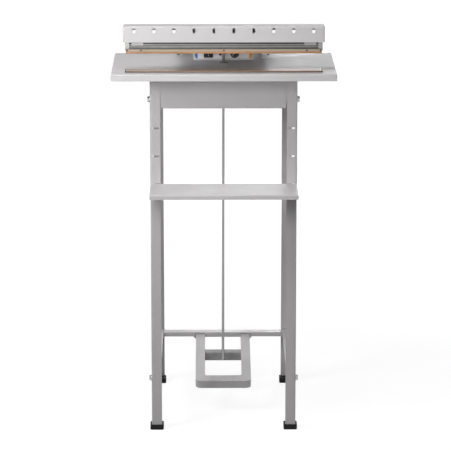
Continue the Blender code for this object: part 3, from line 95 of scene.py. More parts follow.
# %% Camera
CAMERA_PLACE = (-0.0417, -6.66, 2.158)
CAMERA_PITCH_DEG = 13.81
CAMERA_YAW_DEG = -0.41
CAMERA_LENS = 205.1

lens = bpy.data.cameras.new("portrait_lens")
lens.lens = CAMERA_LENS
lens.clip_end = 60
camera = bpy.data.objects.new("portrait_camera", lens)
camera.location = CAMERA_PLACE
camera.rotation_euler = (math.radians(90 - CAMERA_PITCH_DEG), 0, math.radians(CAMERA_YAW_DEG))
scene.collection.objects.link(camera)
scene.camera = camera
scene.view_settings.view_transform = "Standard"
print("camera", CAMERA_PLACE, "lens", CAMERA_LENS)


# %% [markdown]
# ## A few words for building materials
# Every finish here is a Principled shader whose colour, roughness and bump come from noise and waves on
# Object coordinates. A CAD piece's object sits at the origin, so these coordinates are metres in the
# real object, and a scale of 1000 gives grain about a millimetre across. Small helpers keep each finish
# to a few lines: they make the shader, add a node, join two sockets, and turn a pattern into a colour.

# %% Material helpers
def new_finish(name, color, roughness, metallic=0.0):
    """A Principled material with its plain values set on the shader."""
    made = bpy.data.materials.new(name)
    made.use_nodes = True
    shader = made.node_tree.nodes["Principled BSDF"]
    shader.inputs["Base Color"].default_value = (*color, 1)
    shader.inputs["Roughness"].default_value = roughness
    shader.inputs["Metallic"].default_value = metallic
    return made


def add_node(made, kind, settings=None, **values):
    """Adds a node; settings are its properties and values are its inputs."""
    node = made.node_tree.nodes.new(kind)
    for key, value in (settings or {}).items():
        setattr(node, key, value)
    for key, value in values.items():
        node.inputs[key.replace("_", " ")].default_value = value
    return node


def join(made, source, target):
    """Links an output socket to an input socket."""
    made.node_tree.links.new(source, target)


def shader_of(made):
    """The Principled shader of a finish."""
    return made.node_tree.nodes["Principled BSDF"]


def feed(made, source, name):
    """Links a pattern to an input of the finish's shader."""
    join(made, source, shader_of(made).inputs[name])


def place_of(made, scale=(1, 1, 1)):
    """Object coordinates, stretched along the axes by scale."""
    source = add_node(made, "ShaderNodeTexCoord")
    mapping = add_node(made, "ShaderNodeMapping", Scale=scale)
    join(made, source.outputs["Object"], mapping.inputs["Vector"])
    return mapping.outputs["Vector"]


def noise(made, size, detail=2.0, scale=(1, 1, 1)):
    """Noise whose features are about size metres across."""
    made_noise = add_node(made, "ShaderNodeTexNoise", Scale=1 / size, Detail=detail)
    join(made, place_of(made, scale), made_noise.inputs["Vector"])
    return made_noise.outputs["Fac"]


def spread(made, source, low, high, start=0.3, end=0.7):
    """Maps the middle of a pattern to a range of numbers."""
    ends = {"From_Min": start, "From_Max": end, "To_Min": low, "To_Max": high}
    ranged = add_node(made, "ShaderNodeMapRange", **ends)
    join(made, source, ranged.inputs["Value"])
    return ranged.outputs["Result"]


def blend_colors(made, factor, first, second):
    """A colour between two, by a pattern."""
    mix = add_node(made, "ShaderNodeMix", {"data_type": "RGBA"})
    mix.inputs["A"].default_value = (*first, 1)
    mix.inputs["B"].default_value = (*second, 1)
    join(made, factor, mix.inputs["Factor"])
    return mix.outputs["Result"]


def tone(color, share):
    """A colour made lighter or darker."""
    return tuple(channel * share for channel in color)


def darken_where(made, color_socket, source, low, high, share):
    """Darkens a colour to a share of itself where a number runs from low to high."""
    factor = spread(made, source, 1.0, share, low, high)
    scaled = add_node(made, "ShaderNodeVectorMath", {"operation": "SCALE"})
    join(made, color_socket, scaled.inputs["Vector"])
    join(made, factor, scaled.inputs["Scale"])
    return scaled.outputs["Vector"]


def axes_of(made):
    """The three separate coordinates, in metres."""
    axes = add_node(made, "ShaderNodeSeparateXYZ")
    join(made, place_of(made), axes.inputs["Vector"])
    return axes.outputs


def raise_surface(made, height, strength, distance):
    """Turns a pattern into bump; a second call adds to the first."""
    bump = add_node(made, "ShaderNodeBump", Strength=strength, Distance=distance)
    join(made, height, bump.inputs["Height"])
    target = shader_of(made).inputs["Normal"]
    if target.is_linked:
        join(made, target.links[0].from_socket, bump.inputs["Normal"])
    join(made, bump.outputs["Normal"], target)


print("material helpers are ready")


# %% [markdown]
# ## Baked enamel
# The whole stand is folded sheet with one light, warm grey enamel. Baked enamel has a faint orange peel,
# patches that cured a little glossier, and a colour that drifts by a few percent. A flat grey would look
# like plastic, so the colour, the roughness and the surface each get their own slow or fine noise. The
# pedal's enamel is a little paler, and shoes have rubbed dull patches and short streaks into it along
# the foot. The plate across it has a darker, more mottled enamel.

# %% Enamel
ENAMEL = (0.60, 0.585, 0.592)


def enamel(name, color, scuffed=0.0):
    """Light grey baked paint on sheet steel, with a share of scuffs."""
    made = new_finish(name, color, 0.48)
    drift = noise(made, 0.16, 3.0)
    hue = blend_colors(made, spread(made, drift, 0, 1), tone(color, 0.965), tone(color, 1.025))
    if scuffed:
        rubbed = noise(made, 0.045, 4.0, (1, 0.5, 1))
        hue = darken_where(made, hue, rubbed, 0.46, 0.72, 1 - scuffed)
        streaks = noise(made, 0.0012, 3.0, (1, 0.06, 1))
        hue = darken_where(made, hue, streaks, 0.56, 0.72, 1 - scuffed / 2)
    feed(made, hue, "Base Color")
    patches = noise(made, 0.035, 4.0)
    feed(made, spread(made, patches, 0.42, 0.56), "Roughness")
    raise_surface(made, noise(made, 0.0016, 2.0), 0.10, 0.0003)
    raise_surface(made, noise(made, 0.05, 1.0), 0.06, 0.002)
    return made


painted = enamel("warm_grey_enamel", ENAMEL)
# The pedal gets a copy of the enamel that is a little paler and lightly scuffed; the plate across it gets
# a darker, more mottled copy.
trodden = enamel("scuffed_enamel", tone(ENAMEL, 1.12), 0.15)
dark_mottled = enamel("dark_mottled_enamel", tone(ENAMEL, 0.70), 0.30)
print("enamel", painted.name + ",", trodden.name, "and", dark_mottled.name)


# %% [markdown]
# ## Bare metals
# The rod, the pins and the fasteners are zinc plated: pale, a little blue and yellow in patches, with
# fine scratches. The jaw bar is an aluminium extrusion, whose lines run along its length. Springs are
# drawn wire. The lower jaw's base is anodised dark, and only its ends show. Each is the same recipe with
# the grain stretched another way. Heat and dust have darkened the jaw bar in its grooves, so its colour
# follows depth; high up under the cover it is also darkened as painted shade, so its colour follows
# height.

# %% Metals
def metal(name, color, roughness, grain, grain_size, tint_share=0.9):
    """A bare metal whose grain is stretched by the three shares of grain."""
    made = new_finish(name, color, roughness, 1.0)
    patches = noise(made, 0.02, 3.0)
    hue = blend_colors(made, spread(made, patches, 0, 1), color, tone(color, tint_share))
    feed(made, hue, "Base Color")
    lines = noise(made, grain_size, 3.0, grain)
    feed(made, spread(made, lines, roughness - 0.07, roughness + 0.09), "Roughness")
    raise_surface(made, lines, 0.15, 0.0002)
    return made


zinc = metal("zinc_plate", (0.46, 0.465, 0.45), 0.36, (1, 1, 1), 0.0012)
rod_zinc = metal("drawn_zinc_rod", (0.36, 0.36, 0.355), 0.40, (1, 1, 0.02), 0.0008)
extruded = metal("extruded_aluminium", (0.27, 0.27, 0.262), 0.46, (0.01, 1, 1), 0.0009)
anodised = metal("dark_anodised_aluminium", (0.045, 0.038, 0.038), 0.55, (0.01, 1, 1), 0.0009)
aged_and_shaded_bar = metal("aged_and_shaded_jaw_aluminium", (0.25, 0.25, 0.243), 0.48, (0.01, 1, 1), 0.0009, 0.85)
spring_wire = metal("spring_wire", (0.42, 0.42, 0.43), 0.30, (1, 1, 1), 0.0006)
dark_zinc = metal("blackened_screw", (0.10, 0.10, 0.105), 0.42, (1, 1, 1), 0.0008)
ribbon_metal = metal("heater_alloy", (0.50, 0.47, 0.44), 0.32, (0.02, 1, 1), 0.0006, 0.7)
core_metal = metal("core_sheets", (0.20, 0.20, 0.215), 0.48, (1, 0.02, 0.02), 0.0005)

RIB_SETBACK = 0.004
GROOVE_DEPTH = 0.001
SHADE_LOW = 0.008
SHADE_HIGH = 0.006
rib_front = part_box("jaw_bar")[0].y + RIB_SETBACK
cover_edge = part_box("jaw_cover")[0].z
bar_axes = axes_of(aged_and_shaded_bar)
bar_hue = shader_of(aged_and_shaded_bar).inputs["Base Color"].links[0].from_socket
bar_hue = darken_where(aged_and_shaded_bar, bar_hue, bar_axes["Y"], rib_front, rib_front + GROOVE_DEPTH, 0.55)
# Painted shade: the jaw bar's colour falls to 40 percent high up, just under the cover's lower edge,
# where the cover shades it.
shade = (cover_edge - SHADE_LOW, cover_edge - SHADE_HIGH)
bar_hue = darken_where(aged_and_shaded_bar, bar_hue, bar_axes["Z"], *shade, 0.40)
feed(aged_and_shaded_bar, bar_hue, "Base Color")
print("metals are ready, ribs of the jaw bar at", round(rib_front, 4))


# %% [markdown]
# ## Rubber, plastic and board
# Rubber boots and plastic controls are both black, so roughness and grain tell them apart: rubber is
# dusty and dull, moulded plastic has a fine even grain and a soft shine.

# %% Rubber and plastic
DUST_TONE = 0.30


def moulded(name, color, roughness, grain_size, depth, dust=0.0):
    """A moulded material with an even grain and patches of dust."""
    made = new_finish(name, color, roughness)
    patches = noise(made, 0.012, 4.0)
    powdered = tuple(channel * (1 - dust) + DUST_TONE * dust for channel in color)
    hue = blend_colors(made, spread(made, patches, 0, 1), color, powdered)
    feed(made, hue, "Base Color")
    feed(made, spread(made, patches, roughness - 0.05, roughness + 0.08), "Roughness")
    raise_surface(made, noise(made, grain_size, 2.0), 0.25, depth)
    return made


rubber = moulded("boot_rubber", (0.012, 0.012, 0.013), 0.78, 0.0009, 0.0003, 0.03)
shader_of(rubber).inputs["Specular IOR Level"].default_value = 0.25
plastic = moulded("black_plastic", (0.022, 0.022, 0.024), 0.38, 0.0004, 0.0001)
grey_nylon = moulded("grey_nylon", (0.34, 0.335, 0.33), 0.50, 0.0006, 0.0001)
silicone = moulded("silicone_strip", (0.60, 0.48, 0.40), 0.55, 0.0006, 0.0001)
board_green = moulded("circuit_board_green", (0.035, 0.20, 0.09), 0.42, 0.0012, 0.0001)
white_sheet = moulded("panel_sheet", (0.91, 0.91, 0.92), 0.34, 0.0005, 0.00004)
blue_ink = moulded("panel_blue", (0.05, 0.20, 0.48), 0.36, 0.0005, 0.00004)
orange_ink = moulded("panel_orange", (0.90, 0.42, 0.05), 0.36, 0.0005, 0.00004)
black_ink = moulded("panel_black", (0.03, 0.03, 0.032), 0.38, 0.0005, 0.00004)
print("moulded materials are ready")


# %% [markdown]
# ## Release cloth and laminate
# The jaws are covered with woven glass cloth, soaked in a brown coating so that hot film doesn't stick.
# The weave is a fraction of a millimetre and shows as a crossing bump, and heat has browned the strip in
# clouds. The insulating nose and the clamp strips are pressed laminate, tan with thin layers.

# %% Cloth and laminate
THREAD = 0.0007
SCORCH_EDGE = 0.0042
SCORCH_CORE = 0.0018
SIDE_SHADE_DEPTH = 0.0008


def release_cloth(name, color, ribbon_y, side_z):
    """Coated glass cloth: crossing waves for the weave, a scorched line, and painted shade on the sides
    below side_z.
    """
    made = new_finish(name, color, 0.42)
    shader_of(made).inputs["Coat Weight"].default_value = 0.12
    shader_of(made).inputs["Coat Roughness"].default_value = 0.35
    browning = noise(made, 0.03, 4.0, (0.35, 1, 1))
    hue = blend_colors(made, spread(made, browning, 0, 1), tone(color, 0.84), tone(color, 1.12))
    axes = axes_of(made)
    away = add_node(made, "ShaderNodeMath", {"operation": "SUBTRACT"})
    away.inputs[1].default_value = ribbon_y
    join(made, axes["Y"], away.inputs[0])
    nearness = add_node(made, "ShaderNodeMath", {"operation": "ABSOLUTE"})
    join(made, away.outputs[0], nearness.inputs[0])
    hue = darken_where(made, hue, nearness.outputs[0], SCORCH_EDGE, SCORCH_CORE, 0.72)
    # Painted shade: below side_z the cloth's sides are darkened to 55 percent, as if shaded from the
    # light above.
    hue = darken_where(made, hue, axes["Z"], side_z, side_z - SIDE_SHADE_DEPTH, 0.55)
    feed(made, hue, "Base Color")
    for direction in ("X", "DIAGONAL"):
        settings = {"wave_type": "BANDS", "bands_direction": direction}
        weave = add_node(made, "ShaderNodeTexWave", settings, Scale=0.32 / THREAD, Distortion=0.6)
        join(made, place_of(made), weave.inputs["Vector"])
        raise_surface(made, weave.outputs["Fac"], 0.20, 0.00008)
    return made


def laminate(name, color):
    """Pressed laminate with thin layers and a fibrous mottle."""
    made = new_finish(name, color, 0.5)
    fibres = noise(made, 0.004, 4.0, (0.15, 1, 6))
    hue = blend_colors(made, spread(made, fibres, 0, 1), tone(color, 0.82), tone(color, 1.12))
    feed(made, hue, "Base Color")
    raise_surface(made, fibres, 0.2, 0.0001)
    return made


ribbon_low, ribbon_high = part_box("heating_ribbon")
ribbon_middle = (ribbon_low.y + ribbon_high.y) / 2
jaw_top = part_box("lower_cloth")[1].z
upper_release = release_cloth("release_cloth_upper", (0.54, 0.27, 0.12), ribbon_middle, 0)
lower_release = release_cloth("release_cloth_lower", (0.30, 0.205, 0.155), ribbon_middle, jaw_top)
tan_laminate = laminate("tan_laminate", (0.44, 0.36, 0.27))
print("cloth and laminate are ready")


# %% [markdown]
# ## Lamp and winding
# The pilot lamp is off, so its lens is a dark, smoky red that lets a little light through. The winding is
# enamelled copper, and a fine wave across it stands for the turns of wire.

# %% Lamp and winding
smoked = new_finish("smoked_lens", (0.12, 0.03, 0.025), 0.16)
shader_of(smoked).inputs["Transmission Weight"].default_value = 0.25
shader_of(smoked).inputs["Coat Weight"].default_value = 0.5
lens_hue = blend_colors(smoked, noise(smoked, 0.002), (0.13, 0.03, 0.025), (0.09, 0.02, 0.02))
feed(smoked, lens_hue, "Base Color")
raise_surface(smoked, noise(smoked, 0.0015, 1.0), 0.1, 0.0002)

copper = new_finish("enamelled_copper", (0.50, 0.20, 0.07), 0.32, 0.8)
turns = add_node(copper, "ShaderNodeTexWave", {"wave_type": "BANDS", "bands_direction": "Z"}, Scale=350.0)
join(copper, place_of(copper), turns.inputs["Vector"])
feed(copper, spread(copper, turns.outputs["Fac"], 0.24, 0.42, 0, 1), "Roughness")
raise_surface(copper, turns.outputs["Fac"], 0.6, 0.0004)
print("lamp and winding are ready")


# %% [markdown]
# ## Give each solid piece its finish
# A solid piece keeps its own mesh. Only its material slots are filled again, by one table that a reader
# can check against the real object. Folded sheet also has no knife edges: a narrow bevel, added as a
# modifier after the loose triangles are welded, catches the light along every cut edge.

# %% Finishes of the solid pieces
FINISHES = {
    painted: """leg_front_left leg_front_right leg_rear_left leg_rear_right apron_front apron_rear
        apron_left apron_right low_rail_left low_rail_right low_crossbar shelf table_top rear_deck
        console_shell front_panel arm_hood jaw_cover""",
    trodden: "pedal_frame",
    dark_mottled: "cross_plate",
    rubber: "boot_front_left boot_front_right boot_rear_left boot_rear_right",
    plastic: "rocker_frame cord_gland micro_switch dial_knob rocker",
    grey_nylon: "rod_bush",
    zinc: """hinge_bracket_left hinge_bracket_right hinge_pin rod_bracket rod_clip_upper
        rod_clip_lower pedal_pin switch_plunger""",
    rod_zinc: "pull_rod",
    extruded: "jaw_end_left jaw_end_right tensioner_left tensioner_right dial_body",
    anodised: "lower_jaw_base",
    aged_and_shaded_bar: "jaw_bar",
    silicone: "lower_rubber",
    tan_laminate: "jaw_nose clamp_front clamp_rear",
    ribbon_metal: "heating_ribbon",
    smoked: "pilot_lamp",
    board_green: "timer_board",
    core_metal: "transformer_core",
    copper: "transformer_coil",
}
EDGE_WIDTHS = {
    painted: 0.0005,
    trodden: 0.0005,
    dark_mottled: 0.0005,
    rubber: 0.0012,
    plastic: 0.0003,
    extruded: 0.0002,
    anodised: 0.0002,
    aged_and_shaded_bar: 0.0002,
    zinc: 0.0002,
}
WELD_REACH = 0.00002
FLAT_DEG = 0.5
EDGE_DEG = 30


def soften(node, width):
    """Welds a solid's triangles, joins those that lie flat, and rounds its edges."""
    weld = node.modifiers.new("weld", "WELD")
    weld.merge_threshold = WELD_REACH
    flat = node.modifiers.new("flat", "DECIMATE")
    flat.decimate_type = "DISSOLVE"
    flat.angle_limit = math.radians(FLAT_DEG)
    edge = node.modifiers.new("edge", "BEVEL")
    edge.width = width
    edge.segments = 2
    edge.limit_method = "ANGLE"
    edge.angle_limit = math.radians(EDGE_DEG)


for finish, names in FINISHES.items():
    for name in names.split():
        mesh = nodes[name].data
        mesh.materials.clear()
        mesh.materials.append(finish)
        if finish in EDGE_WIDTHS:
            soften(nodes[name], EDGE_WIDTHS[finish])
dressed = [name for names in FINISHES.values() for name in names.split()]
print("dressed", len(dressed), "left out", sorted(set(nodes) - set(dressed)))


# %% [markdown]
# ## Helpers for added pieces
# Added pieces are built in a bmesh, directly at their place in the object. A turned piece starts as the
# few points of its profile, which are spun about an axis; the doubles are merged and the normals
# recalculated, because a spin can turn a surface inside out.

# %% Piece helpers
TURN_STEPS = 24
FEW_STEPS = 16
SHARP_DEG = 32
MERGE = 1e-6


def stand_at(origin, outward):
    """A place at origin whose z axis points outward."""
    turn = Vector(outward).to_track_quat("Z", "Y").to_matrix().to_4x4()
    return Matrix.Translation(origin) @ turn


def turned(shape, profile, place, steps=TURN_STEPS):
    """Spins a profile of (radius, height) points about the z axis of place."""
    points = [shape.verts.new((radius, 0, height)) for radius, height in profile]
    edges = [shape.edges.new(pair) for pair in zip(points, points[1:])]
    bmesh.ops.spin(
        shape,
        geom=[*points, *edges],
        cent=(0, 0, 0),
        axis=(0, 0, 1),
        angle=math.tau,
        steps=steps,
        use_merge=True,
    )
    reached = set(points)
    waiting = list(points)
    while waiting:
        for edge in waiting.pop().link_edges:
            for vert in edge.verts:
                if vert not in reached:
                    reached.add(vert)
                    waiting.append(vert)
    bmesh.ops.remove_doubles(shape, verts=list(reached), dist=MERGE)
    kept = [vert for vert in reached if vert.is_valid]
    bmesh.ops.transform(shape, matrix=place, verts=kept)


def ring_profile(inner, outer, low, high):
    """The closed profile of a flat ring."""
    return [(inner, low), (outer, low), (outer, high), (inner, high), (inner, low)]


def block(shape, place, size):
    """Adds a box of a size about a place."""
    made = bmesh.ops.create_cube(shape, size=1.0)
    bmesh.ops.scale(shape, vec=size, verts=made["verts"])
    bmesh.ops.transform(shape, matrix=place, verts=made["verts"])


def cut(shape, across=None, up=None, **clear):
    """Cuts flat sheet along a line across or up."""
    everything = [*shape.verts, *shape.edges, *shape.faces]
    at = (across, 0, 0) if up is None else (0, up, 0)
    normal = (1, 0, 0) if up is None else (0, 1, 0)
    bmesh.ops.bisect_plane(shape, geom=everything, plane_co=at, plane_no=normal, dist=MERGE, **clear)


def add_piece(name, shape, body, finish):
    """Turns a bmesh into a piece of the object that rides on a body."""
    bmesh.ops.recalc_face_normals(shape, faces=shape.faces)
    mesh = bpy.data.meshes.new(name)
    shape.to_mesh(mesh)
    shape.free()
    mesh.shade_smooth()
    mesh.set_sharp_from_angle(angle=math.radians(SHARP_DEG))
    mesh.materials.append(finish)
    made = bpy.data.objects.new(name, mesh)
    scene.collection.objects.link(made)
    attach(made, body)
    print(name, len(mesh.polygons), "faces on", body)
    return made


# %% [markdown]
# ## Round rods and pins
# The frame's round pieces come as flat facets, which show as stripes on a shiny rod. Their meshes stay as
# they are, so each gets a copy whose doubles are merged and which is shaded smooth, with sharp edges
# kept where the ends begin. The copy stands for the piece on the same body.

# %% Smooth the round pieces
ROUND_PIECES = {
    rod_zinc: "pull_rod",
    zinc: "hinge_pin pedal_pin rod_clip_upper rod_clip_lower",
    smoked: "pilot_lamp",
    plastic: "cord_gland",
}
record = frame["record"]
body_of = {node: body for body, members in record["behaviour"]["bodies"].items() for node in members}
for finish, names in ROUND_PIECES.items():
    for node in names.split():
        shape = bmesh.new()
        shape.from_mesh(nodes[node].data)
        bmesh.ops.remove_doubles(shape, verts=shape.verts, dist=WELD_REACH)
        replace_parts(add_piece("smooth_" + node, shape, body_of[node], finish), node)


# %% [markdown]
# ## The release cloths
# Each jaw wears a strip of coated glass cloth. On the bench it is cut flat, laid over the jaw, folded
# down the sides and clamped. The mesh is made the same way: a flat grid of the real cut, with extra
# lines where it folds, whose flaps are turned about those lines. Every fold is three small turns, which
# gives it a radius. Glass cloth hardly stretches, so the flat size stays true.

# %% Cut and fold the cloths
CLOTH_THICK = 0.0003
FOLD_TURNS = 3
FOLD_STEP = 0.0005
PUCKER = 0.00010
PUCKER_LENGTH = 0.030
CLOTH_CELLS = 110
CLOTH_ROWS = 24


def folded_cloth(name, length, front, flat, rear, front_deg, rear_deg, corner, slope_deg, body, finish):
    """A strip folded at both edges of its flat part; corner is where that part starts."""
    shape = bmesh.new()
    width = front + flat + rear
    made = bmesh.ops.create_grid(shape, x_segments=CLOTH_CELLS, y_segments=CLOTH_ROWS, size=0.5)
    bmesh.ops.scale(shape, vec=(length, width, 1), verts=made["verts"])
    bmesh.ops.translate(shape, vec=(0, width / 2 - front, 0), verts=made["verts"])
    steps = [FOLD_STEP * turn for turn in range(FOLD_TURNS)]
    for line in [*(-step for step in steps), *(flat + step for step in steps)]:
        cut(shape, up=line)
    flat_place = {vert: vert.co.y for vert in shape.verts}
    for step in reversed(steps):
        behind = [vert for vert, y in flat_place.items() if y > flat + step + MERGE]
        turn = Matrix.Rotation(math.radians(rear_deg) / FOLD_TURNS, 3, "X")
        bmesh.ops.rotate(shape, cent=(0, flat + step, 0), matrix=turn, verts=behind)
        ahead = [vert for vert, y in flat_place.items() if y < -step - MERGE]
        turn = Matrix.Rotation(-math.radians(front_deg) / FOLD_TURNS, 3, "X")
        bmesh.ops.rotate(shape, cent=(0, -step, 0), matrix=turn, verts=ahead)
    shape.normal_update()
    for vert, y in flat_place.items():
        loose = max(0, -y / front, (y - flat) / rear)
        wave = math.sin(math.tau * vert.co.x / PUCKER_LENGTH + 3 * math.sin(17 * vert.co.x))
        vert.co += vert.normal * PUCKER * wave * loose * (1 - loose) * 4
    slope = Matrix.Rotation(math.radians(slope_deg), 3, "X")
    bmesh.ops.rotate(shape, cent=(0, 0, 0), matrix=slope, verts=shape.verts)
    bmesh.ops.translate(shape, vec=(0, *corner), verts=shape.verts)
    piece = add_piece(name, shape, body, finish)
    wall = piece.modifiers.new("wall", "SOLIDIFY")
    wall.thickness = CLOTH_THICK
    wall.offset = 0
    print(name, "was cut", round(width * 1000, 1), "by", round(length * 1000, 1), "mm")
    return piece


def edge_height(node, at_front):
    """How high the lower edge of a piece is at its front or at its rear."""
    corners = [vert.co for vert in nodes[node].data.vertices]
    edge = min(corner.y for corner in corners) if at_front else max(corner.y for corner in corners)
    return min(corner.z for corner in corners if abs(corner.y - edge) < FOLD_STEP)


upper_low, upper_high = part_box("upper_cloth")
nose_low, nose_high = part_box("jaw_nose")
nose_depth = nose_high.y - nose_low.y
nose_fall = edge_height("jaw_nose", True) - edge_height("jaw_nose", False)
slant = math.atan2(nose_fall, nose_depth)
half_wall = CLOTH_THICK / 2
skin_y = upper_low.y + half_wall
skin_drop = nose_low.y - skin_y
upper_corner = (skin_y + FOLD_STEP, edge_height("jaw_nose", True) - skin_drop)
upper_flat = (upper_high.y - upper_low.y - CLOTH_THICK - 2 * FOLD_STEP) / math.cos(slant)
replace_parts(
    folded_cloth(
        "upper_release_cloth",
        length=upper_high.x - upper_low.x,
        front=upper_high.z - upper_corner[1] - FOLD_STEP,
        flat=upper_flat,
        rear=upper_high.z - upper_corner[1] + upper_flat * math.sin(slant) - FOLD_STEP,
        front_deg=90 - math.degrees(slant),
        rear_deg=90 + math.degrees(slant),
        corner=upper_corner,
        slope_deg=-math.degrees(slant),
        body="jaw_arm",
        finish=upper_release,
    ),
    "upper_cloth",
)

lower_low, lower_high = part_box("lower_cloth")
lower_flat = lower_high.y - lower_low.y - CLOTH_THICK - 2 * FOLD_STEP
lower_side = lower_high.z - lower_low.z - CLOTH_THICK
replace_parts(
    folded_cloth(
        "lower_release_cloth",
        length=lower_high.x - lower_low.x,
        front=lower_side,
        flat=lower_flat,
        rear=lower_side,
        front_deg=-90,
        rear_deg=-90,
        corner=(lower_low.y + half_wall + FOLD_STEP, lower_high.z - half_wall),
        slope_deg=0,
        body="frame",
        finish=lower_release,
    ),
    "lower_cloth",
)


# %% [markdown]
# ## The return springs
# Two compression springs lift the arm off the jaw. Their end turns lie flat so that they stand straight,
# and the turns between are open. A small ring of wire is spun about the spring's axis with a rise at
# every step, slowly for the end turns and faster between them. The springs shorten when the arm comes
# down.

# %% Wind the springs
RING_SIDES = 10
TURN_PARTS = 28
OPEN_TURNS = 4.5
END_TURNS = 1.0
END_PITCH_SHARE = 1.1
WIRE_RADIUS = 0.0009


def wind(shape, ring, turns, rise):
    """Carries a ring of wire on round the z axis, and gives back the ring at the end."""
    steps = round(TURN_PARTS * turns)
    made = bmesh.ops.spin(
        shape,
        geom=ring,
        cent=(0, 0, 0),
        axis=(0, 0, 1),
        dvec=(0, 0, rise / steps),
        angle=math.tau * turns,
        steps=steps,
    )
    return [*(part for part in made["geom_last"] if not isinstance(part, bmesh.types.BMFace))]


for side in ("left", "right"):
    node = "return_spring_" + side
    low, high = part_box(node)
    middle = (low + high) / 2
    coil_radius = (high.x - low.x) / 2 - WIRE_RADIUS
    height = high.z - low.z - 2 * WIRE_RADIUS
    end_rise = 2 * WIRE_RADIUS * END_PITCH_SHARE * END_TURNS
    shape = bmesh.new()
    stand = Matrix.Translation((coil_radius, 0, WIRE_RADIUS)) @ Matrix.Rotation(math.pi / 2, 4, "X")
    made = bmesh.ops.create_circle(shape, segments=RING_SIDES, radius=WIRE_RADIUS, matrix=stand)
    ring = [*made["verts"], *shape.edges]
    stretches = [(END_TURNS, end_rise), (OPEN_TURNS, height - 2 * end_rise), (END_TURNS, end_rise)]
    for turns, rise in stretches:
        ring = wind(shape, ring, turns, rise)
    bmesh.ops.holes_fill(shape, edges=[edge for edge in shape.edges if edge.is_boundary])
    bmesh.ops.translate(shape, vec=(middle.x, middle.y, low.z), verts=shape.verts)
    spring = add_piece("coil_" + node, shape, "frame", spring_wire)
    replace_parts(spring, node)
    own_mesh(spring)


# %% [markdown]
# ## Bolts through the legs
# Each leg is bolted to a side apron above and to a low side rail below. On the real stand these are
# plated hexagon bolts with a washer outside and a nut inside. A hexagon head is a six-sided drum whose
# top edge is chamfered; insetting the top face and lifting it does that in two operators.

# %% Bolts, washers and nuts
BOLT_ACROSS = 0.0130
BOLT_HEAD = 0.0058
WASHER_RADIUS = 0.0088
WASHER_THICK = 0.0011
NUT_HEIGHT = 0.0044
BOLT_RADIUS = 0.0031
BOLT_SHOWN = 0.0016
HEAD_CHAMFER = 0.0011
TIP_CHAMFER = 0.0005
TIP_SUNK = 0.001
UPPER_BOLT_HEIGHT = 0.890
BOLT_INSET = 0.016
RAIL_WALL = 0.002
LEG_WALL = 0.0023
HEAD_SEAT = 0.0003
WASHER_SEAT = 0.0001


def hexagon(shape, place, across, height):
    """A hexagon head or nut with a chamfered top."""
    made = bmesh.ops.create_cone(
        shape,
        cap_ends=True,
        segments=6,
        radius1=across / math.sqrt(3),
        radius2=across / math.sqrt(3),
        depth=height,
    )
    bmesh.ops.translate(shape, vec=(0, 0, height / 2), verts=made["verts"])
    drum = {face for vert in made["verts"] for face in vert.link_faces}
    top = [face for face in drum if face.calc_center_median().z > height * 0.9]
    inset = bmesh.ops.inset_region(shape, faces=top, thickness=HEAD_CHAMFER, depth=0)
    drum.update(inset["faces"])
    lifted = {vert for face in top for vert in face.verts}
    bmesh.ops.translate(shape, vec=(0, 0, HEAD_CHAMFER / 3), verts=list(lifted))
    corners = {vert for face in drum for vert in face.verts}
    bmesh.ops.transform(shape, matrix=place, verts=list(corners))


inner_face = max(abs(corner.x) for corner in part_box("low_rail_left")) - RAIL_WALL
outer_face = abs(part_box("apron_left")[0].x) + LEG_WALL
bolt_rows = []
for node in ("leg_front_left", "leg_rear_left"):
    low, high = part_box(node)
    bolt_rows.append(low.y + BOLT_INSET if low.y < 0 else high.y - BOLT_INSET)
rail_low, rail_high = (corner.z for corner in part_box("low_rail_left"))
bolt_heights = (UPPER_BOLT_HEIGHT, (rail_low + rail_high) / 2)

heads = bmesh.new()
washers = bmesh.new()
nuts = bmesh.new()
tips = bmesh.new()
for side in (-1, 1):
    for y in bolt_rows:
        for z in bolt_heights:
            outside = stand_at((side * outer_face, y, z), (side, 0, 0))
            hexagon(heads, outside @ Matrix.Translation((0, 0, HEAD_SEAT)), BOLT_ACROSS, BOLT_HEAD)
            turned(washers, ring_profile(BOLT_RADIUS, WASHER_RADIUS, WASHER_SEAT, WASHER_THICK), outside)
            inside = stand_at((side * inner_face, y, z), (-side, 0, 0))
            hexagon(nuts, inside, BOLT_ACROSS, NUT_HEIGHT)
            end = NUT_HEIGHT + BOLT_SHOWN
            start = NUT_HEIGHT - TIP_SUNK
            tip = [(0, start), (BOLT_RADIUS, start), (BOLT_RADIUS, end - TIP_CHAMFER)]
            turned(tips, [*tip, (BOLT_RADIUS - TIP_CHAMFER, end), (0, end)], inside, FEW_STEPS)
for kind, shape in (("bolt_heads", heads), ("washers", washers), ("nuts", nuts), ("bolt_tips", tips)):
    add_piece("stand_" + kind, shape, "frame", zinc)


# %% [markdown]
# ## Screws
# Small button-head screws hold the cloth clamps, the table, the rod's bush and the feet of the hinge. One
# turned profile with a dimple in its middle serves them all. Each size is a radius and a height.

# %% Screws
CLAMP_SCREW = (0.0024, 0.0014)
CLAMP_SCREW_XS = (-0.2445, -0.2095, 0.0, 0.2095, 0.2445)
TABLE_SCREW = (0.0042, 0.0018)
TABLE_SCREW_X = 0.118
TABLE_SCREW_Y = 0.010
BUSH_SCREW = (0.0034, 0.0026)
BUSH_SCREW_OFF = (0.0068, -0.010)
FOOT_SCREW = (0.0036, 0.0022)
FOOT_SCREW_INSET = 0.009
FOOT_SCREW_ENDS = 0.008
FOOT_THICK = 0.003


def screw_profile(radius, height):
    """A domed screw head with a round socket."""
    return [
        (0, height * 0.35),
        (radius * 0.42, height * 0.35),
        (radius * 0.46, height),
        (radius * 0.70, height * 0.92),
        (radius * 0.92, height * 0.55),
        (radius, 0),
        (0, 0),
    ]


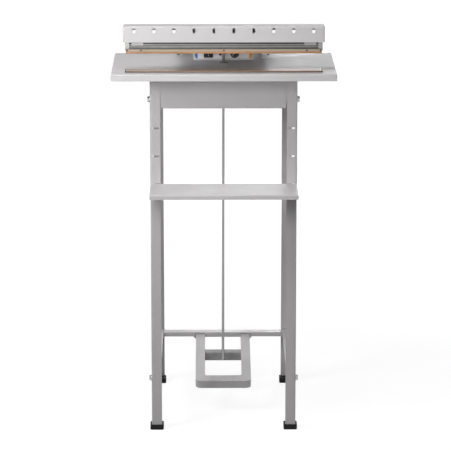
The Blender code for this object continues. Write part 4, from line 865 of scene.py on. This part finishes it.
def screws(name, spots, outward, size, body, finish=dark_zinc):
    """Screw heads at several spots of a face, as one piece."""
    shape = bmesh.new()
    for spot in spots:
        turned(shape, screw_profile(*size), stand_at(spot, outward), FEW_STEPS)
    add_piece(name, shape, body, finish)


clamp_low, clamp_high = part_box("clamp_front")
clamp_middle = (clamp_low.z + clamp_high.z) / 2
clamp_rear_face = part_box("clamp_rear")[1].y
front_spots = [(x, clamp_low.y, clamp_middle) for x in CLAMP_SCREW_XS]
rear_spots = [(x, clamp_rear_face, clamp_middle) for x in CLAMP_SCREW_XS]
screws("clamp_screws_front", front_spots, (0, -1, 0), CLAMP_SCREW, "jaw_arm")
screws("clamp_screws_rear", rear_spots, (0, 1, 0), CLAMP_SCREW, "jaw_arm")

table_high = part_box("table_top")[1].z
table_spots = [(x, TABLE_SCREW_Y, table_high) for x in (-TABLE_SCREW_X, TABLE_SCREW_X)]
screws("table_screws", table_spots, (0, 0, 1), TABLE_SCREW, "frame")

bush_low, bush_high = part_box("rod_bush")
bush_middle = (bush_low + bush_high) / 2
bush_spot = (bush_middle.x + BUSH_SCREW_OFF[0], bush_middle.y + BUSH_SCREW_OFF[1], bush_high.z)
screws("bush_screw", [bush_spot], (0, 0, 1), BUSH_SCREW, "frame")

foot_spots = []
for side in ("left", "right"):
    low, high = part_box("hinge_bracket_" + side)
    foot_x = low.x + FOOT_SCREW_INSET if side == "right" else high.x - FOOT_SCREW_INSET
    ends = (low.y + FOOT_SCREW_ENDS, high.y - FOOT_SCREW_ENDS)
    foot_spots += [(foot_x, y, low.z + FOOT_THICK) for y in ends]
screws("hinge_foot_screws", foot_spots, (0, 0, 1), FOOT_SCREW, "frame", zinc)


# %% [markdown]
# ## The control panel's print
# The panel wears a white label with round corners, a plain coloured band at each end, and a numbered
# scale round the dial. One outline serves all three colours: it is cut across where a colour ends, so
# the bands keep the label's corners. Print is thin, but it is still geometry a few hundredths of a
# millimetre high, so that it stays sharp at any distance and exports with the model.

# %% Panel print
PRINT_LIFT = 0.00006
PRINT_THICK = 0.00008
LABEL_MARGIN_ACROSS = 0.0012
LABEL_MARGIN_UP = 0.0024
LABEL_CORNER = 0.0075
END_BAND = 0.0075
HOLE_SHARES = {"rocker_frame": 0.9, "pilot_lamp": 0.7, "dial_body": 0.6}
SCALE_STEPS = 10
SCALE_START_DEG = 225
SCALE_SWEEP_DEG = 270
MARK_RADIUS = 0.0135
LONG_MARK = 0.0022
SHORT_MARK = 0.0014
MARK_WIDTH = 0.00035
NUMBER_RADIUS = 0.0168
NUMBER_HEIGHT = 0.0036

dial_joint = next(joint for joint in frame["joints"] if joint["name"] == "dial_turn")
panel_low, panel_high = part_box("front_panel")
face_out = -Vector(dial_joint["axis"])
face_across = Vector((1, 0, 0))
face_up = face_out.cross(face_across)
dial_middle = Vector(dial_joint["pos_m"])


def facing(middle, outward):
    """A place whose x runs right, y up and z outward."""
    place = Matrix((face_across, outward.cross(face_across), outward)).transposed().to_4x4()
    place.translation = middle
    return place


def on_panel(across, up, out=0.0):
    """A place on the panel, measured from the dial's middle."""
    return facing(dial_middle + face_across * across + face_up * up + face_out * out, face_out)


def printed(name, shape, finish):
    """A print piece on the panel."""
    add_piece(name, shape, "frame", finish)


panel_half_height = (panel_high.z - panel_low.z) / face_up.z / 2
panel_rise = ((panel_low.z + panel_high.z) / 2 - dial_middle.z) / face_up.z
label_left = panel_low.x + LABEL_MARGIN_ACROSS - dial_middle.x
label_right = panel_high.x - LABEL_MARGIN_ACROSS - dial_middle.x
label_half_height = panel_half_height - LABEL_MARGIN_UP


def hole_beside(node, share):
    """Where a control stands on the panel: its span across and up, shrunk about its middle."""
    low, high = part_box(node)
    middle = (low + high) / 2
    span_up = (high.z - low.z) / face_up.z * share / 2
    across = middle.x - dial_middle.x
    up = (middle.z - dial_middle.z) / face_up.z
    half = (high.x - low.x) * share / 2
    return (across - half, across + half, up - span_up, up + span_up)


def label_part(name, start, end, finish, holes=()):
    """The stretch of a round-cornered label from start to end, open at its holes."""
    shape = bmesh.new()
    made = bmesh.ops.create_grid(shape, x_segments=1, y_segments=1, size=0.5)
    bmesh.ops.scale(shape, vec=(label_right - label_left, 2 * label_half_height, 1), verts=made["verts"])
    middle = ((label_left + label_right) / 2, panel_rise, 0)
    bmesh.ops.translate(shape, vec=middle, verts=made["verts"])
    bmesh.ops.bevel(
        shape,
        geom=made["verts"],
        offset=LABEL_CORNER,
        affect="VERTICES",
        segments=8,
        profile=0.5,
        material=-1,
    )
    cut(shape, across=start, clear_inner=True)
    cut(shape, across=end, clear_outer=True)
    for left, right, bottom, top in holes:
        cut(shape, across=left)
        cut(shape, across=right)
        cut(shape, up=bottom)
        cut(shape, up=top)
    inside = []
    for face in shape.faces:
        x, y = face.calc_center_median().xy
        if any(left < x < right and bottom < y < top for left, right, bottom, top in holes):
            inside.append(face)
    bmesh.ops.delete(shape, geom=inside, context="FACES")
    bmesh.ops.solidify(shape, geom=shape.faces[:], thickness=PRINT_THICK)
    bmesh.ops.transform(shape, matrix=on_panel(0, 0, PRINT_LIFT), verts=shape.verts)
    printed(name, shape, finish)


band_left = label_left + END_BAND
band_right = label_right - END_BAND
controls = [hole_beside(node, share) for node, share in HOLE_SHARES.items()]
label_part("panel_label", band_left, band_right, white_sheet, controls)
label_part("panel_band_left", label_left - MERGE, band_left, blue_ink)
label_part("panel_band_right", band_right, label_right + MERGE, orange_ink)


def scale_angle(step):
    """The direction of a step of the dial's scale."""
    return math.radians(SCALE_START_DEG - SCALE_SWEEP_DEG * step / SCALE_STEPS)


scale_marks = bmesh.new()
for step in range(SCALE_STEPS + 1):
    mark = on_panel(0, 0, PRINT_LIFT) @ Matrix.Rotation(scale_angle(step), 4, "Z")
    reach = LONG_MARK if step % 5 == 0 else SHORT_MARK
    block(scale_marks, mark @ Matrix.Translation((MARK_RADIUS, 0, 0)), (reach, MARK_WIDTH, PRINT_THICK))
printed("dial_scale_marks", scale_marks, black_ink)


def number_piece(number, across, up):
    """A plain number as a flat mesh on the panel."""
    name = f"dial_number_{number}"
    drawn = bpy.data.curves.new(name, "FONT")
    drawn.body = str(number)
    drawn.size = NUMBER_HEIGHT
    drawn.align_x = "CENTER"
    drawn.align_y = "CENTER"
    drawn.extrude = PRINT_THICK / 2
    holder = bpy.data.objects.new(name, drawn)
    scene.collection.objects.link(holder)
    mesh = bpy.data.meshes.new_from_object(holder.evaluated_get(bpy.context.evaluated_depsgraph_get()))
    bpy.data.objects.remove(holder)
    shape = bmesh.new()
    shape.from_mesh(mesh)
    bmesh.ops.transform(shape, matrix=on_panel(across, up, PRINT_LIFT), verts=shape.verts)
    printed(name, shape, black_ink)


for step in range(0, SCALE_STEPS + 1, 2):
    angle = scale_angle(step)
    number_piece(step, NUMBER_RADIUS * math.cos(angle), NUMBER_RADIUS * math.sin(angle))


# %% [markdown]
# ## Marks on the switch and the knob
# The rocker carries the usual bar and ring for on and off, one on each of its two faces, and the knob
# has one white line that shows where it is set. These marks move with their own bodies. The rocker's
# faces lean, so their middles and directions are measured from its mesh.

# %% Switch and knob marks
MARK_LIFT = 0.00006
MARK_THICK = 0.0001
BAR_SIZE = (0.0009, 0.0034, MARK_THICK)
RING_RADII = (0.0013, 0.0019)
POINTER_SIZE = (0.0075, 0.0011, 0.0002)
POINTER_MIDDLE = (0.0055, 0, 0.0001)


def rocker_face(upper):
    """The middle and the direction of the rocker's upper or lower face."""
    middle_z = sum(corner.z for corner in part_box("rocker")) / 2
    shown = [
        face
        for face in nodes["rocker"].data.polygons
        if face.normal.dot(face_out) > 0.9 and (face.center.z > middle_z) == upper
    ]
    area = sum(face.area for face in shown)
    middle = sum((Vector(face.center) * face.area for face in shown), Vector()) / area
    return middle, Vector(shown[0].normal)


rocker_marks = bmesh.new()
middle, outward = rocker_face(upper=False)
block(rocker_marks, facing(middle + outward * MARK_LIFT, outward), BAR_SIZE)
middle, outward = rocker_face(upper=True)
ring = ring_profile(*RING_RADII, 0, MARK_THICK)
turned(rocker_marks, ring, facing(middle + outward * MARK_LIFT / 2, outward))
add_piece("rocker_marks", rocker_marks, "rocker_key", white_sheet)

knob_front = max((Vector(v.co) - dial_middle).dot(face_out) for v in nodes["dial_knob"].data.vertices)
pointer = bmesh.new()
pointer_turn = on_panel(0, 0, knob_front) @ Matrix.Rotation(scale_angle(0), 4, "Z")
block(pointer, pointer_turn @ Matrix.Translation(POINTER_MIDDLE), POINTER_SIZE)
add_piece("knob_pointer", pointer, "dial", white_sheet)


# %% [markdown]
# ## The studio
# The floor is pale and reaches far behind the object. It takes a soft shadow like any matt surface, and
# what the camera and glossy surfaces see of it gets a light of its own, a little more of it far from the
# object, so that it meets the white surroundings without an edge. That light is only seen, straight or
# in a reflection, and matt surfaces get none of it.

# %% Floor and world
FLOOR_REACH = 40
FLOOR_DROP = 0.0005
FLOOR_TONE = 0.32
AMBIENT = 0.12
GLOW_NEAR = 0.83
GLOW_FAR = 0.98
GLOW_RISE = (1.0, 3.5)

floor_shape = bmesh.new()
bmesh.ops.create_grid(floor_shape, x_segments=1, y_segments=1, size=FLOOR_REACH)
floor_mesh = bpy.data.meshes.new("studio_floor")
floor_shape.to_mesh(floor_mesh)
floor_shape.free()
floor = bpy.data.objects.new("studio_floor", floor_mesh)
floor.location = (0, 0, -FLOOR_DROP)
scene.collection.objects.link(floor)


def seen_rays(owner):
    """One where a ray comes from the camera, a glossy bounce or a transmission."""
    path = add_node(owner, "ShaderNodeLightPath")
    total = path.outputs["Is Camera Ray"]
    for kind in ("Is Glossy Ray", "Is Transmission Ray"):
        either = add_node(owner, "ShaderNodeMath", {"operation": "MAXIMUM"})
        join(owner, total, either.inputs[0])
        join(owner, path.outputs[kind], either.inputs[1])
        total = either.outputs[0]
    return total


pale = bpy.data.materials.new("studio_floor")
pale.use_nodes = True
pale.node_tree.nodes.clear()
matt = add_node(pale, "ShaderNodeBsdfDiffuse", Color=(FLOOR_TONE, FLOOR_TONE, FLOOR_TONE, 1))
glow = add_node(pale, "ShaderNodeEmission")
distance = add_node(pale, "ShaderNodeVectorMath", {"operation": "LENGTH"})
join(pale, add_node(pale, "ShaderNodeTexCoord").outputs["Object"], distance.inputs[0])
strength = add_node(pale, "ShaderNodeMath", {"operation": "MULTIPLY"})
join(pale, seen_rays(pale), strength.inputs[0])
join(pale, spread(pale, distance.outputs["Value"], GLOW_NEAR, GLOW_FAR, *GLOW_RISE), strength.inputs[1])
join(pale, strength.outputs[0], glow.inputs["Strength"])
both = add_node(pale, "ShaderNodeAddShader")
join(pale, matt.outputs[0], both.inputs[0])
join(pale, glow.outputs[0], both.inputs[1])
output = add_node(pale, "ShaderNodeOutputMaterial")
join(pale, both.outputs[0], output.inputs["Surface"])
floor_mesh.materials.append(pale)

world = bpy.data.worlds.new("studio_world")
world.use_nodes = True
scene.world = world
background = world.node_tree.nodes["Background"]
background.inputs["Color"].default_value = (1, 1, 1, 1)
join(world, spread(world, seen_rays(world), AMBIENT, 1.0, 0, 1), background.inputs["Strength"])
print("floor and world are ready")


# %% [markdown]
# ## The lamps
# The light comes from the upper left, as in the picture. A large softbox stands close by on that side,
# so that its light fades over the width of the table and down the legs. A smaller one hangs above the
# table's front edge and shades what lies under the table and the shelf, and the smallest stands low in
# front and reaches the console under the arm. A weak sun with a wide disc gives the floor an even light
# as far as the eye reaches, and two more softboxes stand at the right and behind for the views there.

# %% Lamps
TABLE_MIDDLE = (0, -0.1, 0.9)


def aim(lamp, place, target):
    """Points a lamp from a place to a target."""
    lamp.location = place
    lamp.rotation_euler = (Vector(target) - Vector(place)).to_track_quat("-Z", "Y").to_euler()
    scene.collection.objects.link(lamp)


def soft_sun(name, place, strength, disc_deg):
    """A sun whose wide disc softens its shadow."""
    data = bpy.data.lights.new(name, "SUN")
    data.energy = strength
    data.angle = math.radians(disc_deg)
    aim(bpy.data.objects.new(name, data), place, (0, 0, 0))


def softbox(name, place, target, size, power):
    """A square area lamp that faces a point."""
    data = bpy.data.lights.new(name, "AREA")
    data.shape = "SQUARE"
    data.size = size
    data.energy = power
    aim(bpy.data.objects.new(name, data), place, target)


soft_sun("high_sun", (-1.6, -1.2, 2.6), 0.3, 16)
softbox("left_softbox", (-1.35, -0.85, 1.6), TABLE_MIDDLE, 0.8, 13.5)
softbox("top_softbox", (-0.3, -1.0, 2.4), TABLE_MIDDLE, 0.6, 6.5)
softbox("console_softbox", (-0.25, -1.15, 1.16), (0, 0, 1.0), 0.4, 4.7)
softbox("right_softbox", (2.3, 0.35, 0.55), (0, 0.2, 0.6), 0.8, 12)
softbox("rear_softbox", (0.5, 2.8, 0.9), (0, 0, 0.7), 1.2, 24)
print("lamps are ready")
